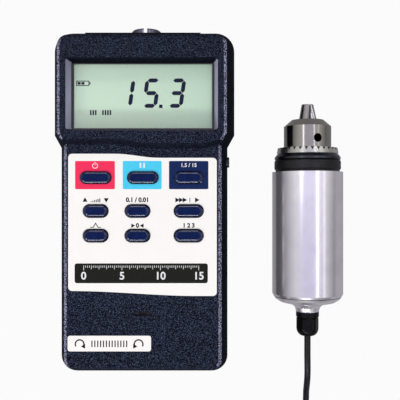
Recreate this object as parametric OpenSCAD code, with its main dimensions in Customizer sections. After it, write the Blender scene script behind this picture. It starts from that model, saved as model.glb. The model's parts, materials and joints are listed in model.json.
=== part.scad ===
// Handheld torque meter with its separate chuck-type torque sensor, both lying face up on a table.
// The origin is the middle of the meter's flat back. +Y runs to the socket end, +Z out of the keypad.
// All sizes are in millimetres. The sensor's axis is parallel to Y, at sensor_x, one barrel radius up.

/* [Meter case] */
// Length of the case, without the socket panel
case_len = 181.4; // [160:0.1:210]
// Width of the display head at the parting plane
head_w = 96.6; // [90:0.1:110]
// Width of the hand grip at the parting plane
body_w = 89.2; // [84:0.1:92]
// Height of the display head over the back
head_h = 32; // [30:0.1:38]
// Height of the keypad face over the back
body_h = 27; // [25.5:0.1:29]
// Height of the parting plane
split_z = 14.5; // [12:0.1:16]
// Wall of the moulded shells
wall = 2.2; // [1.6:0.1:2.6]
// Thickness of the back of the rear shell
floor_t = 2.4; // [2:0.1:3]
// Corner radius at the top of the head
head_corner_r = 10; // [6:0.1:14]
// Corner radius at the foot of the grip
foot_corner_r = 8.5; // [7:0.1:12]
// Straight side of the head, from the socket end
head_side_len = 55; // [54:0.1:58]
// Length of the slanted shoulder below the head
shoulder_len = 5; // [3:0.1:8]
// Draw-in of the grip's sides up to the rim of its face
body_slope_in = 3.5; // [2:0.1:4]
// Draw-in of the grip's face rim
body_edge_in = 1.65; // [0.5:0.05:2]
// Height of the grip's face rim
body_edge_h = 1.5; // [0.5:0.1:2]
// Draw-in of the head's sides up to the rim of its face
head_slope_in = 4.7; // [3:0.1:5]
// Draw-in of the head's face rim
head_edge_in = 1.5; // [0.5:0.1:2]
// Height of the head's face rim
head_edge_h = 1; // [0.5:0.1:2]
// Draw-in of the rear shell down to its back rim
back_slope_in = 1.2; // [0.5:0.1:2]
// Draw-in of the back rim
back_edge_in = 2.2; // [1:0.1:3]
// Height of the back rim
back_edge_h = 2; // [1:0.1:2.4]
// Distance of the step below the display from the socket end, at the left
step_back = 60.7; // [59.7:0.1:61.7]
// How far the middle of the step bulges towards the keypad
step_bulge = 2.1; // [0.5:0.1:3]
// How far the step's face leans back
step_lean = 2.3; // [1:0.1:3]

/* [Display] */
// Width of the display recess at the face
recess_w = 78; // [74:0.1:80]
// Length of the display recess at the face
recess_l = 37.4; // [34:0.1:38]
// Depth of the display recess
recess_depth = 7; // [5:0.1:8]
// Width of the visible display
view_w = 72.4; // [66:0.1:73]
// Length of the visible display
view_l = 33.6; // [30:0.1:34]
// Width of the dark border round the visible display
border = 1.2; // [0.8:0.1:1.4]
// Distance of the display's middle from the socket end
display_back = 35.3; // [34.7:0.1:36.1]
// Thickness of the clear window
window_t = 1.2; // [0.8:0.1:1.6]
// Thickness of the display glass
glass_t = 2.2; // [1.8:0.1:2.4]
// Height of the rubber contact strips
strip_h = 2; // [1.6:0.1:3]
// Thickness of the main board
board_t = 1.6; // [1.2:0.1:2]

/* [Keys] */
// Width of a large key
key_w = 16.5; // [14:0.1:18]
// Length of a large key
key_l = 6.6; // [5.5:0.1:7.5]
// Width of the third key column
key_third_w = 15.2; // [13:0.1:16]
// Width of a small key
key_small_w = 13; // [11:0.1:14]
// Height of a key over the face
key_proud = 1.3; // [0.8:0.1:2]
// Travel of a key
key_travel = 0.6; // [0.4:0.05:0.8]
// Clearance round a key
key_gap = 0.3; // [0.2:0.05:0.4]
// Key columns, left to right
key_left_x = -24.3; // [-25:0.1:-23]
// Middle key column of the first row
key_mid_x = 0.2; // [-1:0.1:1]
// Middle key column of the lower rows
key_mid_low_x = -2.6; // [-3.5:0.1:-1.5]
// Right key column
key_right_x = 24; // [23:0.1:25]
// Distance of the first key row from the step
key_row1_back = 17.3; // [16.5:0.1:18]
// Distance between the first and the second key row
key_row2_back = 17.3; // [16.7:0.1:18.7]
// Distance between the second and the third key row
key_row3_back = 12.8; // [12:0.1:14]

/* [Label] */
// Width of the face label
label_w = 77.1; // [74:0.1:78]
// Distance of the label's top edge from the step, at the left
label_back = 4.9; // [4.6:0.1:5.4]
// How far the label's top edge steps down to its right
label_step = 2.1; // [0.5:0.1:3]
// Length of the label at its left
label_len = 71.2; // [69:0.1:72]
// How far the label's bottom edge steps down to its right
label_foot_step = 2.6; // [0.5:0.1:4]
// Thickness of the label
label_t = 0.3; // [0.2:0.05:0.5]
// Corner radius of the label
label_r = 2; // [1:0.1:3]
// Width of the small plate near the foot
badge_w = 43.3; // [30:0.1:46]
// Length of the small plate near the foot
badge_l = 8.1; // [6:0.1:10]

/* [Power] */
// Length of the battery block, without its terminals
battery_w = 46.4; // [44:0.1:47]
// Width of the battery block
battery_l = 26.5; // [25:0.1:27]
// Thickness of the battery block
battery_h = 17.5; // [16:0.1:17.8]
// Width of the battery door
door_w = 60; // [56:0.1:64]
// Length of the battery door, from the foot of the case
door_len = 35.6; // [33:0.1:38]
// Sliding clearance of the battery door
door_gap = 0.1; // [0.05:0.01:0.2]

/* [Sockets] */
// Width of the socket panel
panel_w = 60.4; // [50:0.1:62]
// Height of the socket panel
panel_h = 20.5; // [20.2:0.1:21.5]
// Distance of the socket panel's face from the socket end
panel_back = 2.1; // [1.8:0.1:2.6]
// Outer radius of the socket collar
collar_r = 7.95; // [7.7:0.05:8.2]
// Bore radius of the socket collar
collar_bore_r = 6.75; // [6.7:0.05:6.8]
// How far the collar stands proud of the panel
collar_proud = 3; // [1:0.1:4]
// Place of the socket along X
socket_x = 1.15; // [0:0.05:2]
// Radius of the round sleeve of the output jack
jack_r = 2.8; // [2.6:0.05:3]
// Bore radius of the output jack
jack_bore_r = 1.8; // [1.75:0.05:1.9]
// Distance of the output jack from the socket end
jack_back = 69.4; // [68.7:0.1:70.2]

/* [Sensor barrel] */
// Outer radius of the barrel
barrel_r = 18.6; // [18.4:0.1:19.5]
// Length of the barrel
barrel_len = 65.6; // [64.5:0.1:80]
// Place of the barrel's front face along Y
barrel_front = 15.9; // [15:0.1:17]
// Wall of the barrel
barrel_wall = 3; // [2.6:0.1:3.2]
// Distance of the sensor's axis from the meter's middle
sensor_x = 87; // [80:0.1:110]
// Length of the end cap behind the barrel
cap_len = 8.2; // [7:0.1:9]
// Radius of the gland's flange
gland_r = 6.05; // [5.8:0.05:6.3]
// Length of the gland's flange
gland_flange_len = 2.8; // [2:0.1:3.5]
// Length of the gland's nut
gland_nut_len = 9.7; // [9:0.1:11]

/* [Chuck] */
// Outer radius of the chuck body
chuck_r = 12.45; // [12.3:0.05:12.6]
// Outer radius of the sleeve
sleeve_r = 17.3; // [16.8:0.1:17.5]
// Outer radius of the sleeve's toothed ring
gear_r = 16.2; // [15.8:0.1:16.6]
// Length of the sleeve with its toothed ring
sleeve_len = 6.4; // [6.2:0.1:6.8]
// Radius of the knurled front collar
knurl_r = 17.35; // [17:0.05:17.8]
// Length of the knurled part of the front collar
knurl_len = 5; // [4.5:0.1:6]
// Length of the undercut between the front collar and the barrel
undercut_len = 1.1; // [0.5:0.1:1.5]
// Length of the chuck body in front of the sleeve
nose_len = 14.9; // [14.5:0.1:16]
// Length of the cone at the chuck's nose
cone_len = 3.5; // [3:0.1:4]
// Radius of the flat nose
nose_r = 8.5; // [8.2:0.1:9]
// How far the jaws stand out of the nose at rest
jaw_out = 8.3; // [7:0.1:9]
// Radius of a jaw
jaw_r = 2.6; // [2.4:0.05:2.7]
// Length of a jaw
jaw_len = 29; // [28:0.1:30]
// Slant of the jaws to the axis, in degrees
jaw_slant = 16; // [15:0.5:17]
// Distance of a jaw's own axis from the chuck's axis at its tip
jaw_tip_off = 0.9; // [0.8:0.05:1]
// Radius of the shank that the jaws hold at rest
grip_r = 1.2; // [1:0.05:1.5]
// Slit between two jaws at rest
jaw_slit = 0.9; // [0.7:0.05:1.1]
// Radius of a key hole
key_hole_r = 2.25; // [2:0.05:2.4]
// Place of the key holes behind the nose
key_hole_back = 10.2; // [9.8:0.1:10.6]
// Number of teeth on the sleeve
teeth = 32; // [24:1:36]
// Turn of the chuck about its axis, in degrees from level
chuck_turn = 74; // [60:1:90]

/* [Cable] */
// Diameter of the cable
cable_d = 3.4; // [3:0.1:3.6]
// Radius of the plug's grip
plug_r = 7.5; // [7:0.1:8]
// Length of the plug's grip
plug_len = 28; // [20:0.5:32]
// Length of the plug's metal shell beyond the grip
plug_shell_len = 10; // [8:0.1:12]
// Length of the bend relief on the plug
relief_len = 11; // [8:0.5:16]

/* [Hidden] */
$fn = 48;
hull_fn = 32;
// Thickness of the slices that a hull joins, and how far a cut runs past a face
skin = 0.01;
over = 1;
half = 0.5;

// Case places
top_y = case_len * half;
foot_y = -case_len * half;
shoulder_y = top_y - head_side_len;
step_y = top_y - step_back;
display_y = top_y - display_back;
key_row1_y = step_y - key_row1_back;
key_row2_y = key_row1_y - key_row2_back;
key_row3_y = key_row2_y - key_row3_back;
label_top = step_y - label_back;
label_foot = label_top - label_len;
jack_y = top_y - jack_back;
head_low = step_y - step_bulge - skin;
body_top = shoulder_y;
cavity_low = step_y + step_lean + wall + skin;
waist_in = 0.6;
min_corner_r = 1.5;
step_rise = head_h - body_h;
step_slant = atan(step_lean / step_rise);

// Stack of the display and the board, from the recess down
seat_z = head_h - recess_depth;
window_z = seat_z - window_t;
glass_z = window_z - glass_t;
board_top = glass_z - strip_h;
board_z = board_top - board_t;
face_in = body_h - wall;
frame_wall = 2;
frame_gap = 0.2;
glass_rim_x = 1.2;
glass_rim_y = 1.6;
glass_w = view_w + 2 * glass_rim_x;
glass_l = view_l + 2 * glass_rim_y;
frame_w = glass_w + 2 * (frame_wall + frame_gap);
frame_l = glass_l + 2 * (frame_wall + frame_gap);
recess_wall = 1.5;
recess_r = 2;
view_r = 1;

// Battery and board, from the foot and the socket end
battery_back = 18;
battery_y = foot_y + battery_back;
board_side = 5.1;
board_w = body_w - 2 * board_side;
board_top_back = 13.7;
board_top_y = top_y - board_top_back;
board_battery_gap = 7.45;
board_low_y = battery_y + battery_l * half + board_battery_gap;

// Fasteners, and how far their bosses lie in from the edges
case_screw_r = 1.45;
case_screw_head_r = 2.75;
case_screw_head_h = 2;
case_screw_sunk = 2;
case_screw_len = 16;
boss_wall = 1.5;
head_boss_side = 7.1;
head_boss_back = 9.6;
foot_boss_side = 8.2;
foot_boss_back = 9.8;
head_boss_x = head_w * half - head_boss_side;
head_boss_y = top_y - head_boss_back;
foot_boss_x = body_w * half - foot_boss_side;
foot_boss_y = foot_y + foot_boss_back;
board_screw_r = 1.1;
board_screw_head_r = 2;
board_screw_head_h = 1.4;
board_screw_len = 5;
board_boss_r = 2.8;
board_boss_side = 4;
board_boss_back = 1.4;
board_boss_up = 6;
board_boss_x = board_w * half - board_boss_side;
board_boss_top_y = step_y - board_boss_back;
board_boss_low_y = board_low_y + board_boss_up;

// Keys
key_flange = 1.2;
key_flange_t = 0.7;
key_rest_gap = 0.1;
key_round = 0.5;
key_cap_top = body_h + key_proud;
key_flange_top = face_in - key_rest_gap;
switch_w = 6;
switch_h = 2.4;
stem_r = 1.75;
stem_top = key_flange_top - key_flange_t - key_travel - key_rest_gap;
KEYS = [
    [key_left_x, key_row1_y, key_w],
    [key_mid_x, key_row1_y, key_w],
    [key_right_x, key_row1_y, key_third_w],
    [key_left_x, key_row2_y, key_small_w],
    [key_mid_low_x, key_row2_y, key_small_w],
    [key_right_x, key_row2_y, key_third_w],
    [key_left_x, key_row3_y, key_small_w],
    [key_mid_low_x, key_row3_y, key_small_w],
    [key_right_x, key_row3_y, key_third_w],
];

// Sounder and its slot
slot_w = 9.6;
slot_l = 2;
slot_back = 32.8;
slot_y = foot_y + slot_back;
sounder_r = 7;
sounder_h = 3.6;
badge_x = -17.2;
badge_back = 17.3;
badge_y = foot_y + badge_back;
badge_t = 0.3;

// Battery and its compartment
seat_gap = 0.1;
battery_z = floor_t + seat_gap;
rib_t = 1.5;
rib_h = 7;
terminal_r = 2.8;
terminal_h = 2;
terminal_pitch = 12.7;
snap_t = 4;
snap_l = 25;
snap_h = 13;
lead_r = 0.6;
lead_out = 2.4;
// Places of the two leads beside the clip, as shares of a lead's radius
lead_places_share = [1.1, 4.1];
tongue = 1.2;
tongue_t = 0.9;
tongue_z = 0.8;
door_y = foot_y + door_len;
grip_cut = 0.5;
grip_pitch = 2.4;
grips = 5;

// Sockets in the panel
panel_z = split_z - panel_h * half;
panel_t = 2.2;
panel_rim = 4.4;
panel_gap = 0.1;
panel_front = top_y - panel_back;
collar_front = panel_front + collar_proud;
collar_flange_r = 8.4;
collar_flange_t = 2;
collar_depth = 8.5;
collar_chamfer = 0.7;
insert_step = 0.35;
notch_w = 1.8;
insert_t = 5.2;
insert_r = collar_bore_r - insert_step;
contact_r = 1.1;
contact_bore_r = 0.75;
contact_tail = 4;
contact_ring_r = 3.5;
contact_angles = [0, 45, 90, 135, 180];
jack_len = 10.5;
jack_w = 8;
jack_h = 7.6;
jack_z = board_z - jack_h * half;
jack_proud = 0.9;
jack_bore_len = 12.6;
jack_tip = body_w * half + jack_proud;
jack_in = 4.6;

// Sensor stations along Y; local z runs to the front, as Y does
axis_z = barrel_r;
barrel_back = barrel_front - barrel_len;
run_gap = 0.15;
knurl_back = barrel_front + undercut_len;
knurl_front = knurl_back + knurl_len;
sleeve_back = knurl_front + run_gap;
sleeve_front = sleeve_back + sleeve_len;
nose_y = sleeve_front + nose_len;
jaw_tip_y = nose_y + jaw_out;
key_hole_y = nose_y - key_hole_back;
jaw_run = 0.06;
// Slanted line of the jaws: distance from the axis at a station
function jaw_off(y) = jaw_tip_off + (jaw_tip_y - y) * tan(jaw_slant);
function jaw_reach(y) = jaw_off(y) + (jaw_r + jaw_run) / cos(jaw_slant);
jaw_tip_r = 3.1;
jaw_root_r = 4.9;
// How far a jaw's bore runs behind and before the jaw's tip, in shares of the jaw's length
jaw_bore_shares = [1.5, 0.1];
nut_gap = 0.15;
nut_len = 4.1;
nut_in = 1.1;
nut_back = sleeve_back + nut_in;
nut_front = nut_back + nut_len;
nut_r = 14.2;
groove_r = 10.1;
sleeve_run = 0.05;
gear_bevel = 0.5;
gear_len = 2.7;
gear_groove_len = 0.7;
gear_groove = 0.5;
sleeve_flat_len = 1.5;
// Side of the V-shaped notches between the teeth, and where they start
tooth_side = 1.5;
tooth_root_r = 13.3;
chuck_back = sleeve_back;
chuck_tail_r = 11.6;
hub_r = 9;
hub_len = 1.4;
hub_back = chuck_back - hub_len;
shank_bore_r = 3.4;
shank_bore_len = 16;
stud_r = 4;
stud_len = 6.4;
screw_r = 1.9;
screw_head_r = 3;
screw_head_h = 2;
screw_len = 7;
screw_end = nose_y - shank_bore_len - screw_len;

// Front collar, barrel and shaft
barrel_bore_r = barrel_r - barrel_wall;
spigot_out = 0.4;
spigot_r = barrel_bore_r + spigot_out;
throat_in = 0.8;
throat_r = barrel_bore_r - throat_in;
spigot_len = 5.6;
lip_len = 1;
undercut = 0.5;
knurl_edge = 0.4;
bearing_seat = 1.6;
bearing_r = barrel_bore_r - bearing_seat;
bearing_bore_r = 6;
bearing_len = 8;
bearing_in = 3.9;
bearing_front = barrel_front - bearing_in;
bearing_back = bearing_front - bearing_len;
race_t = 2.2;
ball_r = 2;
ball_gap = 0.05;
balls = 8;
step_r = bearing_r - bearing_seat;
step_len = 1.5;
barrel_round = 1.4;
barrel_round_in = 0.7;
shoulder_r = 7;
gauge_w = 9;
gauge_back = -24;
gauge_t = 0.3;
gauge_l = 9;
gauge_pad_w = 6;
gauge_y = -9;
anchor_len = 10;
anchor_r = 8;
anchor_back = gauge_back - anchor_len;
anchor_post_r = 2;
anchor_post_len = 4;
anchor_post_in = 4.1;
anchor_post_ring = barrel_bore_r - anchor_post_in;
set_screw_r = 2;
set_screw_angles = [225, 315];
disc_gap = 1.2;
disc_r = barrel_bore_r - disc_gap;
disc_t = 1.6;
disc_y = anchor_back - anchor_post_len - disc_t;

// End cap and gland
cap_front = barrel_back;
cap_back = cap_front - cap_len;
cap_spigot = 6;
cap_bore_r = 4.2;
cap_wall = 3.6;
cap_hollow_r = barrel_bore_r - cap_wall;
seal_t = 1.6;
seal_in = 1.2;
// Profile of the cap, in shares of the barrel's radius and of the cap's length
cap_r_shares = [0.96, 0.915, 0.785, 0.441, 0.355, 0.33, 0.33];
cap_y_shares = [0, 0.16, 0.354, 0.549, 0.744, 0.94, 1];
flange_back = cap_back - gland_flange_len;
gland_neck_r = 5;
gland_groove_len = 0.5;
nut_y = flange_back - gland_groove_len;
gland_end = nut_y - gland_nut_len;
gland_dome_len = 2.9;
gland_dome_r = 3.6;
gland_mouth_r = 2.4;
gland_stub_len = 7.8;
gland_bore_r = 3;
gland_neck_len = 5.5;
gland_wall = 0.95;
cable_gap = 0.06;

// Free route of the cable from the gland to the coil, and from the coil to the plug
CABLE_ROUTE = [
    [87, -50, 18.6], [87, -60, 18.6], [87, -71, 18.6], [87, -76, 18.6], [87, -81, 18.5],
    [87.1, -85.5, 18.2], [87.3, -90, 17.1], [87.5, -94, 15.3], [87.7, -97.5, 12.9],
    [87.9, -100.5, 10.2], [88.1, -103.5, 7.6], [88.4, -107, 5.3], [88.6, -111, 3.5],
    [88.8, -115, 2.4], [88.9, -119, 1.9], [89, -124, 1.8], [89, -129, 2.3],
    [89, -133, 2.7], [89, -136.6, 2.7],
];
TAIL_ROUTE = [
    [62.6, -163, 14.4], [59, -163, 14.4], [55, -163, 13.8], [51, -163, 12.6], [47, -163, 10.9],
    [43, -163, 9.3], [39.5, -163, 8.1], [36, -163, 7.5], [33, -163, 7.5],
];
// The coil: four layers of loops that spiral in and out
coil_x = 66;
coil_y = -140;
coil_r = 23;
coil_pitch = 3.9;
coil_turns = 9.25;
coil_layers = 4;
coil_base_z = 2.7;
loop_steps = 24;
coil_sides = 6;
tube_sides = 8;
layer_turns = coil_turns / coil_layers;
coil_inner_r = coil_r - coil_pitch * layer_turns;
// How far turn t has come along its in-and-out sweep, 0 at the outside and 1 at the inside
function sweep_share(t) =
    let (u = t / layer_turns, n = floor(u), f = u - n) n % 2 == 0 ? f : 1 - f;
// Height of turn t, in layers: level, with a climb in the half turn round each reversal
function layer_at(t) =
    let (n = floor(t / layer_turns + half), d = t - n * layer_turns)
    n < 1 ? 0 : n > coil_layers - 1 ? coil_layers - 1 : n - 1 + climb(min(1, max(0, d * 2 + half)));
function climb(s) = s * s * (3 - 2 * s);
function coil_point(t) =
    let (r = coil_r - (coil_r - coil_inner_r) * sweep_share(t), a = 360 * t)
    [coil_x + r * cos(a), coil_y - r * sin(a), coil_base_z + coil_pitch * layer_at(t)];
coil_steps = round(coil_turns * loop_steps);
COIL_POINTS = [for (i = [0:coil_steps]) coil_point(i * coil_turns / coil_steps)];
COIL_ROUTE = concat(
    [COIL_POINTS[0] + [0, cable_d, 0]], COIL_POINTS, [COIL_POINTS[coil_steps] - [cable_d, 0, 0]]
);
// Least gap between stretches of the coil at least half a loop apart, from point to chord
function chord_gap(p, a, b) =
    let (ab = b - a, s = min(1, max(0, (p - a) * ab / (ab * ab)))) norm(p - a - s * ab);
function coil_gap() = min([
    for (i = [0:coil_steps], j = [0:coil_steps - 1])
        if (abs(i - j) > loop_steps * half) chord_gap(COIL_POINTS[i], COIL_POINTS[j], COIL_POINTS[j + 1])
]) - cable_d;
function run_len(points) =
    len(points) < 2 ? 0 : [for (i = [1:len(points) - 1]) norm(points[i] - points[i - 1])]
        * [for (i = [1:len(points) - 1]) 1];
tie_t = 0.9;
tie_w = 3.2;
tie_gap = 0.15;

// Plug
plug_x = TAIL_ROUTE[len(TAIL_ROUTE) - 1][0];
plug_y = TAIL_ROUTE[len(TAIL_ROUTE) - 1][1];
relief_r = 3.6;
relief_tip_r = 2.5;
plug_shell_r = 6.6;
plug_shell_t = 0.6;
plug_insert_len = 6;
plug_pin_r = 0.7;
plug_pin_len = 8;
plug_ring = 0.4;
grip_taper_len = 4.1;

// Helper shapes

// Flat rectangle with round corners, about the origin
module round_rect(w, l, r) {
    square([w - 2 * r, l], center = true);
    square([w, l - 2 * r], center = true);
    for (x = [-1, 1], y = [-1, 1])
        translate([x * (w * half - r), y * (l * half - r)]) circle(r);
}

module slice(z) {
    translate([0, 0, z]) linear_extrude(skin) children();
}

// Slab between two heights
module slab(z0, z1) {
    translate([0, 0, z0]) linear_extrude(z1 - z0) children();
}

// Box from its lowest and highest corners
module span(low, high) {
    translate(low) cube(high - low);
}

// Plan of the hand grip, drawn in from its outline
module body_plan(inset) {
    r = max(min_corner_r, foot_corner_r - inset);
    reach = body_w * half - inset;
    for (x = [-1, 1]) translate([x * (reach - r), foot_y + inset + r]) circle(r);
    translate([-reach, body_top - skin]) square([2 * reach, skin]);
}

// Plan of the display head with its slanted shoulders
module head_plan(inset) {
    r = max(min_corner_r, head_corner_r - inset);
    reach = head_w * half - inset;
    waist = body_w * half - inset - waist_in;
    for (x = [-1, 1]) translate([x * (reach - r), top_y - inset - r]) circle(r);
    polygon([
        [-reach, shoulder_y], [-waist, shoulder_y - shoulder_len], [-waist, head_low],
        [waist, head_low], [waist, shoulder_y - shoulder_len], [reach, shoulder_y],
    ]);
}

// Plan of the hollow in the head, which stops short of the step's wall
module head_hollow_plan(inset) {
    r = max(min_corner_r, head_corner_r - inset);
    reach = head_w * half - inset;
    for (x = [-1, 1]) translate([x * (reach - r), top_y - inset - r]) circle(r);
    translate([-reach, cavity_low]) square([2 * reach, skin]);
}

module body_block(levels) {
    hull($fn = hull_fn) for (l = levels) slice(l[0]) body_plan(l[1]);
}

module head_block(levels) {
    hull($fn = hull_fn) for (l = levels) slice(l[0]) head_plan(l[1]);
}

module head_hollow(levels) {
    hull($fn = hull_fn) for (l = levels) slice(l[0]) head_hollow_plan(l[1]);
}

// Smooth rise from 0 to 1 between two places
function smooth(x, a, b) = climb(min(1, max(0, (x - a) / (b - a))));
// Line of the step below the display: straight at the left, with a bulge right of the middle
step_places_share = [-0.30, 0.08, 0.70, 0.90];
function step_line(x) = let (h = body_w * half, s = step_places_share)
    step_bulge * (smooth(x, s[0] * h, s[1] * h) - smooth(x, s[2] * h, s[3] * h));
step_points = 40;

// Everything over the keypad face that lies below the step
module step_cut() {
    reach = head_w;
    translate([0, step_y, body_h]) rotate([-step_slant, 0, 0])
        translate([0, 0, -step_rise]) linear_extrude(4 * step_rise) polygon(concat(
            [for (i = [0:step_points]) let (x = (i / step_points - half) * reach)
                [x, -step_line(x) * cos(step_slant)]],
            [[reach * half, -reach], [-reach * half, -reach]]
        ));
}

BODY_LEVELS = [
    [split_z, 0], [body_h - body_edge_h, body_slope_in],
    [body_h - skin, body_slope_in + body_edge_in],
];
HEAD_LEVELS = [
    [split_z, 0], [head_h - head_edge_h, head_slope_in],
    [head_h - skin, head_slope_in + head_edge_in],
];
BODY_HOLLOW = [[split_z - over, wall], [face_in - skin, body_slope_in + wall]];
HEAD_HOLLOW = [[split_z - over, wall], [head_h - wall - skin, head_slope_in + wall]];
REAR_LEVELS = [
    [0, back_slope_in + back_edge_in], [back_edge_h, back_slope_in], [split_z - skin, 0],
];
REAR_HOLLOW = [[floor_t, wall + back_slope_in + over], [split_z + over, wall]];

// Plan of a key, grown by a margin
module key_plan(key, grow) {
    translate([key[0], key[1]])
        round_rect(key[2] + 2 * grow, key_l + 2 * grow, (key_l + 2 * grow) * half - skin);
}

// Places of the fasteners
module at_case_screws() {
    for (x = [-1, 1]) {
        translate([x * head_boss_x, head_boss_y]) children();
        translate([x * foot_boss_x, foot_boss_y]) children();
    }
}

module at_board_screws() {
    for (x = [-1, 1], y = [board_boss_top_y, board_boss_low_y])
        translate([x * board_boss_x, y]) children();
}

// Display recess: its flared walls, and the block they are cut in
module recess_block() {
    translate([0, display_y, 0]) slab(seat_z, head_h - wall * half)
        square([recess_w + 2 * recess_wall, recess_l + 2 * recess_wall], center = true);
}

module recess_cut() {
    hull($fn = hull_fn) translate([0, display_y, 0]) {
        slice(seat_z - skin)
            round_rect(view_w + 2 * border, view_l + 2 * border, view_r + border * half);
        slice(head_h) round_rect(recess_w, recess_l, recess_r);
    }
}

// Opening for the socket panel in the end wall of both shells
module panel_opening(grow) {
    reach = panel_w * half + grow;
    span(
        [-reach, panel_front - panel_t - panel_rim - grow, panel_z - grow],
        [reach, top_y + over, panel_z + panel_h + grow]
    );
}

module jack_hole() {
    translate([body_w * half - jack_len, jack_y, jack_z]) rotate([0, 90, 0])
        cylinder(r = jack_r + panel_gap, h = jack_len + over);
}

// Meter

module front_case() {
    color([0.10, 0.11, 0.17]) difference() {
        union() {
            difference() {
                union() {
                    body_block(BODY_LEVELS);
                    difference() {
                        head_block(HEAD_LEVELS);
                        step_cut();
                    }
                }
                body_block(BODY_HOLLOW);
                head_hollow(HEAD_HOLLOW);
            }
            recess_block();
            at_case_screws() slab(split_z, face_in + skin) circle(case_screw_r + boss_wall);
            at_board_screws() slab(board_top, face_in + skin) circle(board_boss_r);
        }
        recess_cut();
        at_case_screws() slab(split_z - over, case_screw_sunk + case_screw_len + case_screw_head_h)
            circle(case_screw_r);
        at_board_screws() slab(board_top - over, board_top + board_screw_len - board_t)
            circle(board_screw_r);
        for (key = KEYS) slab(face_in - over, body_h + over) key_plan(key, key_gap);
        translate([0, slot_y, 0]) slab(face_in - over, body_h + over)
            round_rect(slot_w, slot_l, slot_l * half - skin);
        panel_opening(panel_gap);
        jack_hole();
    }
}

module rear_outer() {
    body_block(REAR_LEVELS);
    head_block(REAR_LEVELS);
}

// Door shape in the back, with its side tongues, grown by a clearance
module door_space(grow) {
    reach = door_w * half + grow;
    span([-reach, foot_y - over, -over], [reach, door_y + grow, floor_t + skin]);
    span(
        [-reach - tongue, foot_y - over, tongue_z - grow],
        [reach + tongue, door_y + grow, tongue_z + tongue_t + grow]
    );
}

module rear_case() {
    color([0.09, 0.10, 0.15]) difference() {
        union() {
            difference() {
                rear_outer();
                body_block(REAR_HOLLOW);
                head_hollow(REAR_HOLLOW);
            }
            at_case_screws() slab(floor_t * half, split_z) circle(case_screw_head_r + boss_wall * half);
            // Ribs round the battery, beside and above it
            for (x = [-1, 1]) translate([x * (door_w * half + rib_t + door_gap), battery_y, 0])
                slab(floor_t - skin, floor_t + rib_h) square([rib_t, battery_l], center = true);
            translate([0, door_y + rib_t + door_gap, 0])
                slab(floor_t - skin, floor_t + rib_h) square([door_w, rib_t], center = true);
        }
        door_space(door_gap);
        at_case_screws() {
            slab(-over, case_screw_sunk + case_screw_head_h) circle(case_screw_head_r + panel_gap);
            slab(0, split_z + over) circle(case_screw_r + panel_gap);
        }
        panel_opening(panel_gap);
        jack_hole();
    }
}

// Outline of the label: S-shaped top edge, and a bottom edge that steps down to its right
label_points = 24;
arc_steps = 6;
label_top_share = [-0.36, 0.22];
label_foot_share = [-0.95, 0.75];
function label_line(x, place, step, shares) =
    place - step * smooth(x, shares[0] * label_w * half, shares[1] * label_w * half);
function arc(x, y, a) = [for (i = [0:arc_steps])
    [x + label_r * cos(a + 90 * i / arc_steps), y + label_r * sin(a + 90 * i / arc_steps)]];
module label_plan() {
    side = label_w * half - label_r;
    xs = [for (i = [1:label_points - 1]) (2 * i / label_points - 1) * side];
    function top(x) = label_line(x, label_top, label_step, label_top_share);
    function foot(x) = label_line(x, label_foot, label_foot_step, label_foot_share);
    polygon(concat(
        arc(-side, foot(-side) + label_r, 180), [for (x = xs) [x, foot(x)]],
        arc(side, foot(side) + label_r, 270), arc(side, top(side) - label_r, 0),
        [for (i = [len(xs) - 1:-1:0]) [xs[i], top(xs[i])]], arc(-side, top(-side) - label_r, 90)
    ));
}

module face_label() {
    color([0.97, 0.96, 0.92]) difference() {
        slab(body_h, body_h + label_t) label_plan();
        for (key = KEYS) slab(body_h - over, body_h + over) key_plan(key, key_gap);
    }
}

module badge_plate() {
    color([0.95, 0.95, 0.94]) translate([badge_x, badge_y, 0])
        slab(body_h, body_h + badge_t) round_rect(badge_w, badge_l, badge_t);
}

module lcd_window() {
    color([0.85, 0.9, 0.9, 0.4]) translate([0, display_y, 0])
        slab(window_z, seat_z) square([frame_w, frame_l], center = true);
}

module lcd_glass() {
    color([0.72, 0.82, 0.73]) translate([0, display_y, 0])
        slab(glass_z, window_z) square([glass_w, glass_l], center = true);
}

module lcd_frame() {
    color([0.2, 0.2, 0.22]) translate([0, display_y, 0]) difference() {
        slab(board_top, window_z) square([frame_w, frame_l], center = true);
        slab(board_top - over, window_z + over)
            square([glass_w + 2 * frame_gap, glass_l + 2 * frame_gap], center = true);
    }
}

// Two rubber strips that join the glass to the board
module lcd_connectors() {
    strip_l = frame_wall;
    color([0.25, 0.25, 0.27]) for (y = [-1, 1])
        translate([0, display_y + y * (glass_l - 2 * strip_l) * half, 0])
            slab(board_top, glass_z) square([glass_w - 2 * strip_l, strip_l], center = true);
}

module main_board() {
    color([0.05, 0.36, 0.2]) difference() {
        span(
            [-board_w * half, board_low_y, board_z], [board_w * half, board_top_y, board_top]
        );
        at_board_screws() slab(board_z - over, board_top + over) circle(board_screw_r + panel_gap);
    }
}

// Parts under the board, each with its place, width, length and height
chip_w = 14;
chip_h = 2.2;
module chip(x_share, y, w, l, h) {
    translate([x_share * board_w, y, 0]) slab(board_z - h, board_z) square([w, l], center = true);
}
can_r = 3.2;
can_h = 8;
module board_chips() {
    small = chip_w * half;
    color([0.12, 0.12, 0.13]) {
        chip(0, display_y, chip_w, chip_w, chip_h);
        chip(-0.25, display_y, small, small, chip_h * half);
        chip(0.1, key_row1_y, small, chip_w * half, chip_h * half);
        chip(-0.2, key_row3_y, chip_w, small, chip_h);
        chip(0.2, key_row3_y, small, small * half, chip_h * half);
        for (s = [-0.35, -0.2, 0.3]) translate([s * board_w, key_row1_y, 0])
            slab(board_z - can_h, board_z) circle(can_r);
    }
}

module sounder() {
    color([0.16, 0.16, 0.17]) translate([0, slot_y, 0]) difference() {
        slab(face_in - sounder_h, face_in) circle(sounder_r);
        slab(face_in - sounder_h * half, face_in + over) circle(slot_l);
    }
}

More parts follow.
